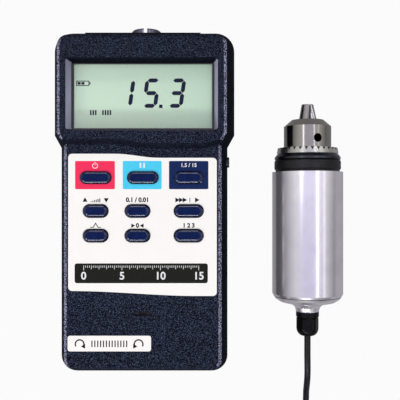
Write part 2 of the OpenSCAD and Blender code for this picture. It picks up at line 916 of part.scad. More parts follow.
module tact_switches() {
    color([0.3, 0.3, 0.32]) for (key = KEYS) translate([key[0], key[1], 0]) {
        slab(board_top, board_top + switch_h) square(switch_w, center = true);
        slab(board_top + switch_h - skin, stem_top) circle(stem_r);
    }
}

// Key cap with its retaining flange under the face
module key_button(index) {
    key = KEYS[index];
    color([0.09, 0.10, 0.16]) {
        slab(key_flange_top - key_flange_t, key_flange_top) key_plan(key, key_flange);
        slab(key_flange_top - skin, key_cap_top - key_round) key_plan(key, 0);
        hull($fn = hull_fn) {
            slice(key_cap_top - key_round - skin) key_plan(key, 0);
            slice(key_cap_top - skin) key_plan(key, -key_round);
        }
    }
}
module button_power() { key_button(0); }
module button_hold() { key_button(1); }
module button_sensor_type() { key_button(2); }
module button_max_min() { key_button(3); }
module button_resolution() { key_button(4); }
module button_fast_slow() { key_button(5); }
module button_peak() { key_button(6); }
module button_zero() { key_button(7); }
module button_unit() { key_button(8); }

module case_screws() {
    color([0.7, 0.7, 0.72]) at_case_screws() {
        slab(case_screw_sunk, case_screw_sunk + case_screw_head_h) circle(case_screw_head_r);
        slab(case_screw_sunk + case_screw_head_h - skin,
            case_screw_sunk + case_screw_head_h + case_screw_len) circle(case_screw_r);
    }
}

module board_screws() {
    color([0.75, 0.75, 0.76]) at_board_screws() {
        slab(board_z - board_screw_head_h, board_z) circle(board_screw_head_r);
        slab(board_z - skin, board_z + board_screw_len) circle(board_screw_r);
    }
}

// Block battery, lying across the case, with its two terminals at the right
module battery() {
    right = battery_w * half;
    color([0.75, 0.55, 0.2]) {
        translate([0, battery_y, 0]) slab(battery_z, battery_z + battery_h)
            round_rect(battery_w, battery_l, 2 * rib_t);
        at_terminals() rotate([0, 90, 0])
            translate([0, 0, -skin]) cylinder(r = terminal_r, h = terminal_h + skin);
    }
}

module at_terminals() {
    for (y = [-1, 1]) translate([
        battery_w * half, battery_y + y * terminal_pitch * half, battery_z + battery_h * half
    ]) children();
}

module battery_snap() {
    color([0.12, 0.12, 0.12]) difference() {
        translate([battery_w * half, battery_y, battery_z + battery_h * half])
            translate([0, -snap_l * half, -snap_h * half]) cube([snap_t, snap_l, snap_h]);
        at_terminals() rotate([0, 90, 0])
            translate([0, 0, -over]) cylinder(r = terminal_r, h = terminal_h + over);
    }
}

// Straight round bars joined by balls at the bends
module wire(points, r) {
    for (i = [1:len(points) - 1]) {
        run = points[i] - points[i - 1];
        translate(points[i - 1]) rotate([0, acos(run[2] / norm(run)), atan2(run[1], run[0])])
            cylinder(r = r, h = norm(run), $fn = hull_fn);
    }
    for (i = [1:len(points) - 2]) translate(points[i]) sphere(r, $fn = hull_fn);
}

module battery_leads() {
    start = battery_w * half + snap_t;
    mid = battery_z + battery_h * half;
    out = board_low_y + lead_out;
    color([0.65, 0.1, 0.1]) for (i = [0, 1]) {
        y = battery_y + (2 * i - 1) * lead_out;
        x = start + lead_r * lead_places_share[i];
        wire([[start, y, mid], [x, y, mid], [x, out, mid], [x, out, board_z]], lead_r);
    }
}

module battery_door() {
    color([0.10, 0.11, 0.16]) difference() {
        intersection() {
            rear_outer();
            difference() {
                door_space(0);
                translate([0, 0, floor_t - door_gap]) linear_extrude(over)
                    square(2 * case_len, center = true);
            }
        }
        for (i = [0:grips - 1]) translate([0, door_y - grip_pitch * (2 + i), 0])
            slab(-over, grip_cut) square([door_w * half, grip_pitch * half], center = true);
    }
}

// Tray-shaped panel that carries the socket
module socket_panel() {
    color([0.08, 0.08, 0.10]) difference() {
        span(
            [-panel_w * half, panel_front - panel_t - panel_rim, panel_z],
            [panel_w * half, panel_front, panel_z + panel_h]
        );
        span(
            [-panel_w * half + panel_t, panel_front - 2 * panel_t - panel_rim - over,
                panel_z + rib_t],
            [panel_w * half - panel_t, panel_front - panel_t, panel_z + panel_h - rib_t]
        );
        at_socket(panel_front - 2 * panel_t) cylinder(r = collar_r, h = 3 * panel_t);
    }
}

// Frame whose z runs out of the socket, at a place along Y
module at_socket(y) {
    translate([socket_x, y, split_z]) rotate([-90, 0, 0]) children();
}

module socket_shell() {
    back = panel_front - panel_t;
    color([0.72, 0.72, 0.74]) difference() {
        union() {
            at_socket(back - collar_depth) rotate_extrude() polygon([
                [insert_r, 0], [collar_r, 0],
                [collar_r, collar_front - back + collar_depth - collar_chamfer],
                [collar_r - collar_chamfer, collar_front - back + collar_depth],
                [collar_bore_r, collar_front - back + collar_depth],
                [collar_bore_r, insert_t], [insert_r, insert_t],
            ]);
            at_socket(back - collar_flange_t) difference() {
                cylinder(r = collar_flange_r, h = collar_flange_t);
                translate([0, 0, -over]) cylinder(r = collar_bore_r, h = collar_flange_t + 2 * over);
            }
        }
        translate([socket_x - notch_w * half, panel_front + skin, split_z])
            cube([notch_w, collar_proud + over, collar_r + over]);
    }
}

module at_contacts() {
    for (a = contact_angles) rotate([0, 0, a]) translate([contact_ring_r, 0, 0]) children();
}

module socket_insert() {
    back = panel_front - panel_t - collar_depth;
    color([0.15, 0.15, 0.16]) at_socket(back) difference() {
        cylinder(r = insert_r, h = insert_t);
        translate([0, 0, -over]) at_contacts() cylinder(r = contact_r, h = insert_t + 2 * over);
    }
}

module socket_contacts() {
    back = panel_front - panel_t - collar_depth;
    color([0.85, 0.7, 0.3]) at_socket(back - contact_tail) at_contacts() difference() {
        cylinder(r = contact_r, h = contact_tail + insert_t);
        translate([0, 0, contact_tail]) cylinder(r = contact_bore_r, h = insert_t + over);
    }
}

module output_jack() {
    color([0.13, 0.13, 0.14]) difference() {
        union() {
            translate([jack_tip - jack_in - jack_len, jack_y - jack_w * half, jack_z - jack_h * half])
                cube([jack_len, jack_w, jack_h]);
            translate([jack_tip - jack_in - skin, jack_y, jack_z]) rotate([0, 90, 0])
                cylinder(r = jack_r, h = jack_in + skin);
        }
        translate([jack_tip - jack_bore_len, jack_y, jack_z]) rotate([0, 90, 0])
            cylinder(r = jack_bore_r, h = jack_bore_len + over);
    }
}

// Sensor: local z runs to the front along Y, and local x stays level

module at_sensor(y) {
    translate([sensor_x, y, axis_z]) rotate([-90, 0, 0]) children();
}

// Turned piece from points of [radius, station]
module turned(points) {
    at_sensor(0) rotate_extrude() polygon(points);
}

module sensor_barrel() {
    color([0.86, 0.86, 0.9]) difference() {
        turned([
            [barrel_bore_r, barrel_back], [barrel_r - barrel_round_in, barrel_back],
            [barrel_r, barrel_back + barrel_round], [barrel_r, barrel_front],
            [spigot_r, barrel_front], [spigot_r, barrel_front + spigot_len],
            [throat_r, barrel_front + spigot_len], [throat_r, bearing_front],
            [bearing_r, bearing_front], [bearing_r, bearing_back],
            [step_r, bearing_back], [step_r, bearing_back - step_len],
            [barrel_bore_r, bearing_back - step_len],
        ]);
        for (a = set_screw_angles) at_sensor(gauge_back - anchor_len * half)
            rotate([90, 0, -a + 90])
                cylinder(r = set_screw_r, h = barrel_r + over);
    }
}

module front_collar() {
    color([0.1, 0.1, 0.11]) turned([
        [spigot_r, barrel_front], [knurl_r - undercut, barrel_front],
        [knurl_r - undercut, knurl_back], [knurl_r - knurl_edge, knurl_back],
        [knurl_r, knurl_back + knurl_edge], [knurl_r, knurl_front - knurl_edge],
        [knurl_r - knurl_edge, knurl_front], [throat_r, knurl_front],
        [throat_r, barrel_front + spigot_len], [spigot_r, barrel_front + spigot_len],
    ]);
}

module end_cap() {
    n = len(cap_r_shares);
    seal_y = cap_front + cap_spigot * half;
    color([0.8, 0.8, 0.84]) turned(concat(
        [for (i = [0:n - 1]) [barrel_r * cap_r_shares[i], cap_front - cap_len * cap_y_shares[i]]],
        [[cap_bore_r, cap_back], [cap_bore_r, cap_front],
            [cap_hollow_r, cap_front], [cap_hollow_r, cap_front + cap_spigot],
            [barrel_bore_r, cap_front + cap_spigot], [barrel_bore_r, seal_y + seal_t * half],
            [barrel_bore_r - seal_in, seal_y + seal_t * half],
            [barrel_bore_r - seal_in, seal_y - seal_t * half],
            [barrel_bore_r, seal_y - seal_t * half], [barrel_bore_r, cap_front]]
    ));
}

module end_cap_seal() {
    seal_y = cap_front + cap_spigot * half;
    color([0.1, 0.1, 0.1]) turned([
        [barrel_bore_r - seal_in, seal_y - seal_t * half], [barrel_bore_r, seal_y - seal_t * half],
        [barrel_bore_r, seal_y + seal_t * half], [barrel_bore_r - seal_in, seal_y + seal_t * half],
    ]);
}

// Shaft that twists: threaded stud, bearing seat, square gauge section and anchored end
module torsion_shaft() {
    color([0.7, 0.7, 0.72]) {
        turned([
            [0, bearing_back - step_len], [bearing_bore_r, bearing_back - step_len],
            [bearing_bore_r, bearing_front], [shoulder_r, bearing_front], [shoulder_r, hub_back],
            [stud_r, hub_back], [stud_r, hub_back + stud_len], [screw_r, hub_back + stud_len],
            [screw_r, screw_end], [0, screw_end],
        ]);
        at_sensor(gauge_back - skin) linear_extrude(bearing_back - step_len - gauge_back + 2 * skin)
            square(gauge_w, center = true);
        turned([
            [0, anchor_back], [anchor_r, anchor_back], [anchor_r, gauge_back], [0, gauge_back],
        ]);
    }
}

// Ball bearing: outer race, inner race and balls, as separate solids
module front_bearing() {
    mid = (bearing_back + bearing_front) * half;
    ring = (bearing_r + bearing_bore_r) * half;
    track = ball_r + ball_gap;
    color([0.78, 0.78, 0.8]) {
        difference() {
            turned([
                [bearing_r - race_t, bearing_back], [bearing_r, bearing_back],
                [bearing_r, bearing_front], [bearing_r - race_t, bearing_front],
            ]);
            at_sensor(mid) rotate_extrude() translate([ring, 0]) circle(track);
        }
        difference() {
            turned([
                [bearing_bore_r, bearing_back], [bearing_bore_r + race_t, bearing_back],
                [bearing_bore_r + race_t, bearing_front], [bearing_bore_r, bearing_front],
            ]);
            at_sensor(mid) rotate_extrude() translate([ring, 0]) circle(track);
        }
        for (i = [0:balls - 1]) at_sensor(mid) rotate([0, 0, i * 360 / balls])
            translate([ring, 0, 0]) sphere(ball_r);
    }
}

module strain_gauges() {
    color([0.85, 0.55, 0.25]) at_sensor(gauge_y) for (i = [0:3]) rotate([0, 0, i * 90])
        translate([gauge_w * half, -gauge_pad_w * half, -gauge_l * half])
            cube([gauge_t, gauge_pad_w, gauge_l]);
}

module shaft_anchor() {
    color([0.6, 0.6, 0.63]) difference() {
        union() {
            turned([
                [anchor_r, anchor_back], [barrel_bore_r, anchor_back],
                [barrel_bore_r, gauge_back], [anchor_r, gauge_back],
            ]);
            for (i = [0:2]) at_sensor(anchor_back - anchor_post_len) rotate([0, 0, i * 120])
                translate([anchor_post_ring, 0, 0])
                    cylinder(r = anchor_post_r, h = anchor_post_len + skin);
        }
        for (a = set_screw_angles) at_sensor(gauge_back - anchor_len * half)
            rotate([90, 0, -a + 90]) cylinder(r = set_screw_r, h = barrel_r + over);
    }
}

module anchor_screws() {
    color([0.3, 0.3, 0.32]) for (a = set_screw_angles)
        at_sensor(gauge_back - anchor_len * half) rotate([90, 0, -a + 90]) difference() {
            translate([0, 0, anchor_r]) cylinder(r = set_screw_r, h = barrel_r - anchor_r - lip_len);
            translate([0, 0, barrel_r - 3 * lip_len]) cylinder(r = set_screw_r * half, h = 3 * lip_len);
        }
}

module gauge_board() {
    color([0.05, 0.36, 0.2]) at_sensor(disc_y) {
        difference() {
            cylinder(r = disc_r, h = disc_t);
            translate([0, 0, -over]) cylinder(r = cable_d, h = disc_t + 2 * over);
        }
        for (i = [0:2]) rotate([0, 0, 60 + i * 120]) translate([anchor_r, 0, disc_t])
            linear_extrude(chip_h * half) square(chip_w * half, center = true);
    }
}

// Chuck

// Frame of jaw i: its z runs along the jaw from its tip's middle to the front, slanting inwards
module at_jaw(i) {
    at_sensor(jaw_tip_y) rotate([0, 0, -chuck_turn - 60 - 120 * i])
        translate([jaw_tip_off, 0, 0]) rotate([0, -jaw_slant, 0]) children();
}

module jaw_bore(grow, i) {
    back = jaw_len * jaw_bore_shares[0];
    front = jaw_len * jaw_bore_shares[1];
    at_jaw(i) translate([0, 0, -back]) cylinder(r = jaw_r + grow, h = back + front);
}

module chuck_body() {
    seat = nose_y - shank_bore_len;
    stud_end = hub_back + stud_len;
    color([0.62, 0.61, 0.6]) difference() {
        turned([
            [stud_r, hub_back], [hub_r, hub_back], [hub_r, chuck_back], [chuck_tail_r, chuck_back],
            [chuck_r, nut_back - nut_gap], [groove_r, nut_back - nut_gap],
            [groove_r, nut_front + nut_gap], [chuck_r, nut_front + nut_gap],
            [chuck_r, nose_y - cone_len], [nose_r, nose_y], [shank_bore_r, nose_y],
            [shank_bore_r, seat], [screw_r, seat], [screw_r, stud_end], [stud_r, stud_end],
        ]);
        for (i = [0:2]) jaw_bore(jaw_run, i);
        for (i = [0:2]) at_sensor(key_hole_y) rotate([0, 0, -chuck_turn - 120 * i])
            rotate([0, 90, 0]) translate([0, 0, shank_bore_r + run_gap])
                cylinder(r = key_hole_r, h = chuck_r);
    }
}

module chuck_screw() {
    seat = nose_y - shank_bore_len;
    color([0.35, 0.35, 0.37]) turned([
        [0, screw_end], [screw_r, screw_end], [screw_r, seat],
        [screw_head_r, seat], [screw_head_r, seat + screw_head_h], [0, seat + screw_head_h],
    ]);
}

module chuck_sleeve() {
    gear_back = sleeve_front - gear_len;
    color([0.5, 0.5, 0.52]) difference() {
        turned([
            [nut_r, sleeve_back], [sleeve_r - knurl_edge, sleeve_back],
            [sleeve_r, sleeve_back + knurl_edge], [sleeve_r, sleeve_back + sleeve_flat_len],
            [gear_r, gear_back - gear_groove_len],
            [gear_r - gear_groove, gear_back - gear_groove_len],
            [gear_r - gear_groove, gear_back], [gear_r, gear_back],
            [gear_r - gear_bevel, sleeve_front], [chuck_r + sleeve_run, sleeve_front],
            [chuck_r + sleeve_run, nut_front], [nut_r, nut_front],
        ]);
        for (i = [0:teeth - 1]) at_sensor(sleeve_front) rotate([0, 0, i * 360 / teeth])
            translate([tooth_root_r, 0, 0]) rotate([45, 0, 0])
                translate([0, -tooth_side * half, -tooth_side * half])
                    cube([gear_r, tooth_side, tooth_side]);
    }
}

module chuck_nut() {
    color([0.45, 0.45, 0.47]) turned([
        [jaw_reach(nut_back) + nut_gap, nut_back], [nut_r, nut_back], [nut_r, nut_front],
        [jaw_reach(nut_front) + nut_gap, nut_front],
    ]);
}

// Jaw i: slanted rod, its gripping faces cut by its neighbours' planes and the shank's bore
module jaw(i) {
    color([0.55, 0.54, 0.53]) intersection() {
        difference() {
            at_jaw(i) translate([0, 0, -jaw_len]) cylinder(r = jaw_r, h = jaw_len + jaw_r);
            at_sensor(nose_y - jaw_len) cylinder(r = grip_r, h = 2 * jaw_len);
            for (s = [-1, 1]) at_sensor(nose_y) rotate([0, 0, -chuck_turn - 60 - 120 * i])
                rotate([0, 0, s * 60]) translate([0, s * (jaw_len - jaw_slit) * half, 0])
                    cube([2 * jaw_len, jaw_len, 3 * jaw_len], center = true);
        }
        turned([
            [0, nose_y - 2 * jaw_len], [3 * jaw_root_r, nose_y - 2 * jaw_len],
            [3 * jaw_root_r, nose_y], [jaw_root_r, nose_y], [jaw_tip_r, jaw_tip_y], [0, jaw_tip_y],
        ]);
    }
}
module jaw_1() { jaw(0); }
module jaw_2() { jaw(1); }
module jaw_3() { jaw(2); }

// Cable gland

module gland_body() {
    neck_back = flange_back - gland_neck_len;
    color([0.09, 0.09, 0.10]) turned([
        [gland_bore_r, cap_back + gland_stub_len], [cap_bore_r, cap_back + gland_stub_len],
        [cap_bore_r, cap_back], [gland_r, cap_back], [gland_r, flange_back],
        [gland_neck_r, flange_back], [gland_neck_r, neck_back],
        [gland_neck_r - gland_wall, neck_back], [gland_neck_r - gland_wall, flange_back],
        [gland_bore_r, flange_back],
    ]);
}

module gland_seal() {
    neck_back = flange_back - gland_neck_len;
    color([0.15, 0.15, 0.15]) turned([
        [cable_d * half + cable_gap, neck_back], [gland_neck_r - gland_wall, neck_back],
        [gland_neck_r - gland_wall, flange_back], [cable_d * half + cable_gap, flange_back],
    ]);
}

module gland_nut() {
    neck_back = flange_back - gland_neck_len;
    dome = gland_end + gland_dome_len;
    color([0.09, 0.09, 0.10]) turned([
        [gland_neck_r, nut_y], [gland_r - knurl_edge * half, nut_y],
        [gland_r - knurl_edge * half, dome], [gland_neck_r, (2 * dome + gland_end) / 3],
        [gland_dome_r, (dome + 2 * gland_end) / 3], [gland_mouth_r, gland_end],
        [cable_d * half + cable_gap, gland_end], [cable_d * half + cable_gap, neck_back],
        [gland_neck_r, neck_back],
    ]);
}

// Cable

function unit(v) = v / norm(v);
// Rings of points round a route, each square to it, with the first side up
function rings(route, r, sides) = [
    for (i = [0:len(route) - 1])
        let (
            a = route[max(0, i - 1)], b = route[min(len(route) - 1, i + 1)],
            t = unit(b - a), s = unit(cross(t, [0, 0, 1])), u = cross(s, t)
        )
        for (k = [0:sides - 1]) let (g = 360 * k / sides) route[i] + r * (sin(g) * s + cos(g) * u)
];
module tube(route, r, sides) {
    last = (len(route) - 1) * sides;
    polyhedron(rings(route, r, sides), concat(
        [for (k = [1:sides - 2]) [0, k, k + 1]],
        [for (k = [1:sides - 2]) [last, last + k + 1, last + k]],
        [for (i = [0:len(route) - 2], k = [0:sides - 1])
            let (m = (k + 1) % sides, p = i * sides) [p + k, p + sides + m, p + m]],
        [for (i = [0:len(route) - 2], k = [0:sides - 1])
            let (m = (k + 1) % sides, p = i * sides) [p + k, p + sides + k, p + sides + m]]
    ));
}

module sensor_cable() {
    color([0.08, 0.08, 0.09]) tube(CABLE_ROUTE, cable_d * half, tube_sides);
}

module cable_coil() {
    echo(coil_gap = coil_gap(), coil_len = run_len(COIL_ROUTE),
        cable_len = run_len(COIL_ROUTE) + run_len(CABLE_ROUTE) + run_len(TAIL_ROUTE));
    color([0.08, 0.08, 0.09]) tube(COIL_ROUTE, cable_d * half, coil_sides);
}

module cable_tail() {
    color([0.08, 0.08, 0.09]) tube(TAIL_ROUTE, cable_d * half, tube_sides);
}

// Band round the bundle of turns, on the coil's left
module cable_tie() {
    r = cable_d * half + tie_gap;
    low = [coil_x - coil_r - r, coil_base_z - r];
    high = [coil_x - coil_inner_r + r, coil_base_z + (coil_layers - 1) * coil_pitch + r];
    color([0.15, 0.15, 0.16]) difference() {
        span([low[0] - tie_t, coil_y - tie_w * half, max(0, low[1] - tie_t)],
            [high[0] + tie_t, coil_y + tie_w * half, high[1] + tie_t]);
        span([low[0], coil_y - tie_w, low[1]], [high[0], coil_y + tie_w, high[1]]);
    }
}

// Plug: local z runs from the cable to the contacts, along -X
module at_plug(along) {
    translate([plug_x - along, plug_y, plug_r]) rotate([0, -90, 0]) children();
}

module plug_relief() {
    color([0.1, 0.1, 0.11]) at_plug(0) rotate_extrude() polygon([
        [0, 0], [relief_tip_r, 0], [relief_r, relief_len], [0, relief_len],
    ]);
}

module plug_grip() {
    color([0.1, 0.1, 0.11]) at_plug(relief_len) rotate_extrude() polygon([
        [0, 0], [relief_r + plug_ring, 0], [plug_r - plug_ring, grip_taper_len],
        [plug_r, 2 * relief_r], [plug_r, plug_len - plug_ring], [plug_r - plug_ring, plug_len],
        [0, plug_len],
    ]);
}

module plug_shell() {
    color([0.75, 0.75, 0.77]) at_plug(relief_len + plug_len) difference() {
        cylinder(r = plug_shell_r, h = plug_shell_len);
        cylinder(r = plug_shell_r - plug_shell_t, h = plug_shell_len + over);
    }
}

// Moulded insert with its five pins
module plug_contacts() {
    color([0.8, 0.7, 0.4]) at_plug(relief_len + plug_len) {
        cylinder(r = plug_shell_r - plug_shell_t, h = plug_insert_len * half);
        at_contacts() cylinder(r = plug_pin_r, h = plug_pin_len);
    }
}

front_case();
rear_case();
face_label();
badge_plate();
lcd_window();
lcd_glass();
lcd_frame();
lcd_connectors();
main_board();
board_chips();
sounder();
tact_switches();
button_power();
button_hold();
button_sensor_type();
button_max_min();
button_resolution();
button_fast_slow();
button_peak();
button_zero();
button_unit();
case_screws();
board_screws();
battery();
battery_snap();
battery_leads();
battery_door();
socket_panel();
socket_shell();
socket_insert();
socket_contacts();
output_jack();
sensor_barrel();
front_collar();
end_cap();
end_cap_seal();
torsion_shaft();
front_bearing();
strain_gauges();
shaft_anchor();
anchor_screws();
gauge_board();
chuck_body();
chuck_screw();
chuck_sleeve();
chuck_nut();
jaw_1();
jaw_2();
jaw_3();
gland_body();
gland_seal();
gland_nut();
sensor_cable();
cable_coil();
cable_tail();
cable_tie();
plug_relief();
plug_grip();
plug_shell();
plug_contacts();
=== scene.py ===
"""Looks of the torque meter: keypad housing on the left, turning sensor on the right.

Sizes and places are in millimetres in the frame of the CAD model: its origin is the middle
of the housing's flat back, +Y runs to the socket end and +Z out of the keypad. Only the
floor and the lamps are in metres.
"""

import json
import math

import bpy
import numpy as np
from mathutils import Matrix


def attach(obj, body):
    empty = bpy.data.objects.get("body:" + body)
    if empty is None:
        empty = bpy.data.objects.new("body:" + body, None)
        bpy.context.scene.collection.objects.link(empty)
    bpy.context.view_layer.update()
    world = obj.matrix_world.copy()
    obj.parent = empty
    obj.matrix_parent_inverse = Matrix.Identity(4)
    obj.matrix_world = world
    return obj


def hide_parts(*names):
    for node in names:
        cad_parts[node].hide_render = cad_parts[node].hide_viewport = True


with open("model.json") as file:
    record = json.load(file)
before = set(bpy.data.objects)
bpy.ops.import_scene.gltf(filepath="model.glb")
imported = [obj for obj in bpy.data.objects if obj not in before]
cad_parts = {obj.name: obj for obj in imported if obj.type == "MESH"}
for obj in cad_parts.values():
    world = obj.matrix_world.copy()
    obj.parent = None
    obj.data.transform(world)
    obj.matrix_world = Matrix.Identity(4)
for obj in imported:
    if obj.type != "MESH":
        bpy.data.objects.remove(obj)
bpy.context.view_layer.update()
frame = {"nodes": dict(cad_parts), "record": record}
NODES = frame["nodes"]

MM = 0.001
TURN = 2 * math.pi
HOUSING = "root_body"

# The display's visible field and the recess round its window
VIEW_HALF_W = 36.2
VIEW_HALF_L = 16.8
VIEW_Y = 55.4
RECESS_HALF_W = 39
RECESS_HALF_L = 18.7

# The sensor's axis, which runs along Y, and the places along it that its finishes follow
SENSOR_X = 87
SENSOR_Z = 18.6
CAP_JOINT_Y = -49.7
CAP_JOINT_HALF = 0.22
GEAR_BACK_Y = 25.6
GEAR_R = 16
GEAR_TEETH = 32
GEAR_ROOT_R = GEAR_R - 0.9
SLEEVE_FRONT_Y = 28.55
SLEEVE_SHADOW_Y = SLEEVE_FRONT_Y + 0.3
CHUCK_CONE_Y = 39.95
KEY_HOLES_FRONT_Y = CHUCK_CONE_Y - 0.6
KEY_HOLES_FLOOR_R = 11.9

# Share of the tooth pitch that the painted shade of a tooth gap takes at the front, and its fall per
# millimetre
TOOTH_GAP = 0.66
TOOTH_GAP_FALL = 0.36

BATTERY_WRAP_X = 6.0


def put(name, data):
    """A new object of that data, in the scene."""
    made = bpy.data.objects.new(name, data)
    bpy.context.scene.collection.objects.link(made)
    return made


# Camera

CAMERA_PLACE = (29.85, 1.1, 368.87)
CAMERA_LENS = 59.256
CAMERA_SENSOR = 36


def make_camera():
    """The camera looks straight down between the housing and the sensor."""
    data = bpy.data.cameras.new("camera")
    data.lens = CAMERA_LENS
    data.sensor_width = CAMERA_SENSOR
    data.clip_start = 0.01
    camera = put("camera", data)
    camera.location = [MM * value for value in CAMERA_PLACE]
    bpy.context.scene.camera = camera


# Shader expressions


class Wire:
    """A shader output that takes part in sums; each operator adds one Math node."""

    def __init__(self, paint, socket):
        self.paint = paint
        self.socket = socket

    def math(self, operation, *values, clamp=False):
        """The Math node of that operation on this output and the values after it."""
        inputs = dict(enumerate((self,) + values))
        settings = {"operation": operation, "use_clamp": clamp}
        return self.paint.node("ShaderNodeMath", settings, inputs)

    def reflected(self, operation, value):
        """The Math node with the value before this output."""
        return self.paint.node(
            "ShaderNodeMath", {"operation": operation}, {0: value, 1: self}
        )

    def __add__(self, value):
        return self.math("ADD", value)

    __radd__ = __add__

    def __mul__(self, value):
        return self.math("MULTIPLY", value)

    __rmul__ = __mul__

    def __sub__(self, value):
        return self.math("SUBTRACT", value)

    def __rsub__(self, value):
        return self.reflected("SUBTRACT", value)

    def __truediv__(self, value):
        return self.math("DIVIDE", value)

    def __rtruediv__(self, value):
        return self.reflected("DIVIDE", value)

    def __gt__(self, value):
        return self.math("GREATER_THAN", value)

    def __lt__(self, value):
        return self.math("LESS_THAN", value)

    def clamped(self):
        """The same value kept between 0 and 1."""
        return self.math("ADD", 0.0, clamp=True)

    def step(self, low, high):
        """0 below low, 1 above high and a straight rise between them."""
        return ((self - low) / (high - low)).clamped()


class Paint:
    def __init__(self, name, kept_in=bpy.data.materials):
        self.material = kept_in.new(name)
        self.material.use_nodes = True
        self.tree = self.material.node_tree
        self.tree.nodes.clear()

    def node(self, kind, settings=None, inputs=None, output=0):
        """Adds a node, sets its settings, then its sockets, and returns one output."""
        added = self.tree.nodes.new(kind)
        for key, value in (settings or {}).items():
            if key == "stops":
                elements = added.color_ramp.elements
                while len(elements) < len(value):
                    elements.new(1.0)
                for element, (place, colour) in zip(elements, value):
                    element.position = place
                    element.color = (*colour, 1)
            else:
                setattr(added, key, value)
        for key, value in (inputs or {}).items():
            if isinstance(value, Wire):
                self.tree.links.new(value.socket, added.inputs[key])
            else:
                added.inputs[key].default_value = value
        return Wire(self, added.outputs[output]) if len(added.outputs) else None

    def place(self):
        """The point of the surface in the CAD model's frame, in metres."""
        return self.node("ShaderNodeTexCoord", output="Object")

    def parts(self, vector):
        """The three parts of a vector."""
        return [
            self.node("ShaderNodeSeparateXYZ", inputs={0: vector}, output=index)
            for index in range(3)
        ]

    def axes(self):
        """The three coordinates of the surface's point, in millimetres."""
        return [part / MM for part in self.parts(self.place())]

    def stretched(self, factors):
        """The point of the surface with each axis scaled by its factor."""
        return self.node(
            "ShaderNodeVectorMath",
            {"operation": "MULTIPLY"},
            {0: self.place(), 1: factors},
        )

    def facing(self):
        """The three parts of the direction that the surface faces."""
        return self.parts(self.node("ShaderNodeTexCoord", output="Normal"))

    def noise(self, size, detail=2.0, roughness=0.5, point=None):
        """Noise from 0 to 1 whose features are about that many millimetres."""
        inputs = {"Scale": 1 / (size * MM), "Detail": detail, "Roughness": roughness}
        inputs["Vector"] = point or self.place()
        return self.node("ShaderNodeTexNoise", {}, inputs)

    def cells(self, size):
        """Distance to the nearest of scattered points about that many millimetres apart."""
        inputs = {"Scale": 1 / (size * MM), "Vector": self.place()}
        return self.node("ShaderNodeTexVoronoi", {"feature": "F1"}, inputs)

    def mix(self, factor, first, second, blend="MIX"):
        """A colour between the first and the second by the factor."""
        first, second = (
            (*colour, 1) if isinstance(colour, (tuple, list)) else colour
            for colour in (first, second)
        )
        settings = {"data_type": "RGBA", "blend_type": blend}
        return self.node("ShaderNodeMix", settings, {0: factor, 6: first, 7: second}, 2)

    def bump(self, height, millimetres):
        """A normal that follows a height from 0 to 1 of that many millimetres."""
        inputs = {"Height": height, "Distance": millimetres * MM}
        return self.node("ShaderNodeBump", {}, inputs)

    def finish(self, **sockets):
        """Ends the material; a socket's name is written with _ for its spaces."""
        inputs = {}
        for key, value in sockets.items():
            if isinstance(value, (tuple, list)):
                value = (*value, 1)
            inputs[key.replace("_", " ")] = value
        shader = self.node("ShaderNodeBsdfPrincipled", {}, inputs)
        self.node("ShaderNodeOutputMaterial", inputs={"Surface": shader})
        return self.material


# Materials

# Moulded navy plastic: its colour, the dark ground between the grains, and its pale specks
NAVY = ((0.0042, 0.0074, 0.0200), (0.0003, 0.0006, 0.0030), (0.066, 0.084, 0.140))
# Painted highlights: paler colours for the front shell's long chamfers and the recess's end walls, where
# side light falls
EDGE_HIGHLIGHT = (0.46, 0.47, 0.62)
WALL_HIGHLIGHT = (0.62, 0.62, 0.80)
# Painted shade for the chuck's key holes, the band behind the sleeve's teeth and the teeth's gaps
PAINTED_SHADE = (0.006, 0.006, 0.006)

# Factors that draw a noise out into rings round the sensor's axis, or into lines along it
LATHED = (0.06, 1, 0.06)
FINELY_LATHED = (0.03, 1, 0.03)
BRUSHED_ALONG = (1, 0.08, 1)


def edge_highlights(paint):
    """Masks for painted highlights on the front shell: its two long top chamfers, and the recess's end
    walls.
    """
    side, _, up = paint.facing()
    x, y, _ = paint.axes()
    sideways = side.math("ABSOLUTE")
    chamfer = sideways.step(0.38, 0.5) * up.step(0.55, 0.65) * (0.95 - up).step(0.0, 0.04)
    inside = (RECESS_HALF_L - (y - VIEW_Y).math("ABSOLUTE")).step(-0.3, 0.1)
    wall = inside * (RECESS_HALF_W + 0.3 - x.math("ABSOLUTE")).step(0.0, 0.2)
    return chamfer, wall * sideways.step(0.7, 0.9)


def moulded(name, base, deep, speck, grain=0.42, height=0.08, highlights=None):
    """Moulded plastic: rounded grains over a dark ground, with paler tops; steep side walls painted
    darker as shade and made rougher, and painted highlights from the given masks.
    """
    paint = Paint(name)
    drift = paint.noise(22, 3)
    grains = paint.noise(grain, 1.5, 0.55)
    tops = grains.step(0.45, 0.58)
    colour = paint.mix(drift.step(0.35, 0.65) * 0.25 + tops * 0.75, deep, base)
    colour = paint.mix(grains.step(0.54, 0.63), colour, speck)
    _, _, up = paint.facing()
    sheer = (0.5 - up.math("ABSOLUTE")).step(0.0, 0.15)
    # Painted shade: steep side walls are darkened towards the dark ground
    colour = paint.mix(sheer * 0.75, colour, deep)
    if highlights:
        chamfer, wall = highlights(paint)
        highlight_grain = paint.noise(0.6, 1.5, 0.55).step(0.49, 0.57)
        # Painted highlights: grainy pale bands on the chamfers, and paler recess end walls
        colour = paint.mix(chamfer * highlight_grain, colour, EDGE_HIGHLIGHT)
        colour = paint.mix(wall * (drift * 0.5 + 0.45), colour, WALL_HIGHLIGHT)
    return paint.finish(
        Base_Color=colour,
        Roughness=tops * 0.12 + drift * 0.1 + 0.3 + sheer * 0.5,
        Specular_IOR_Level=0.06,
        Normal=paint.bump(grains, height),
    )


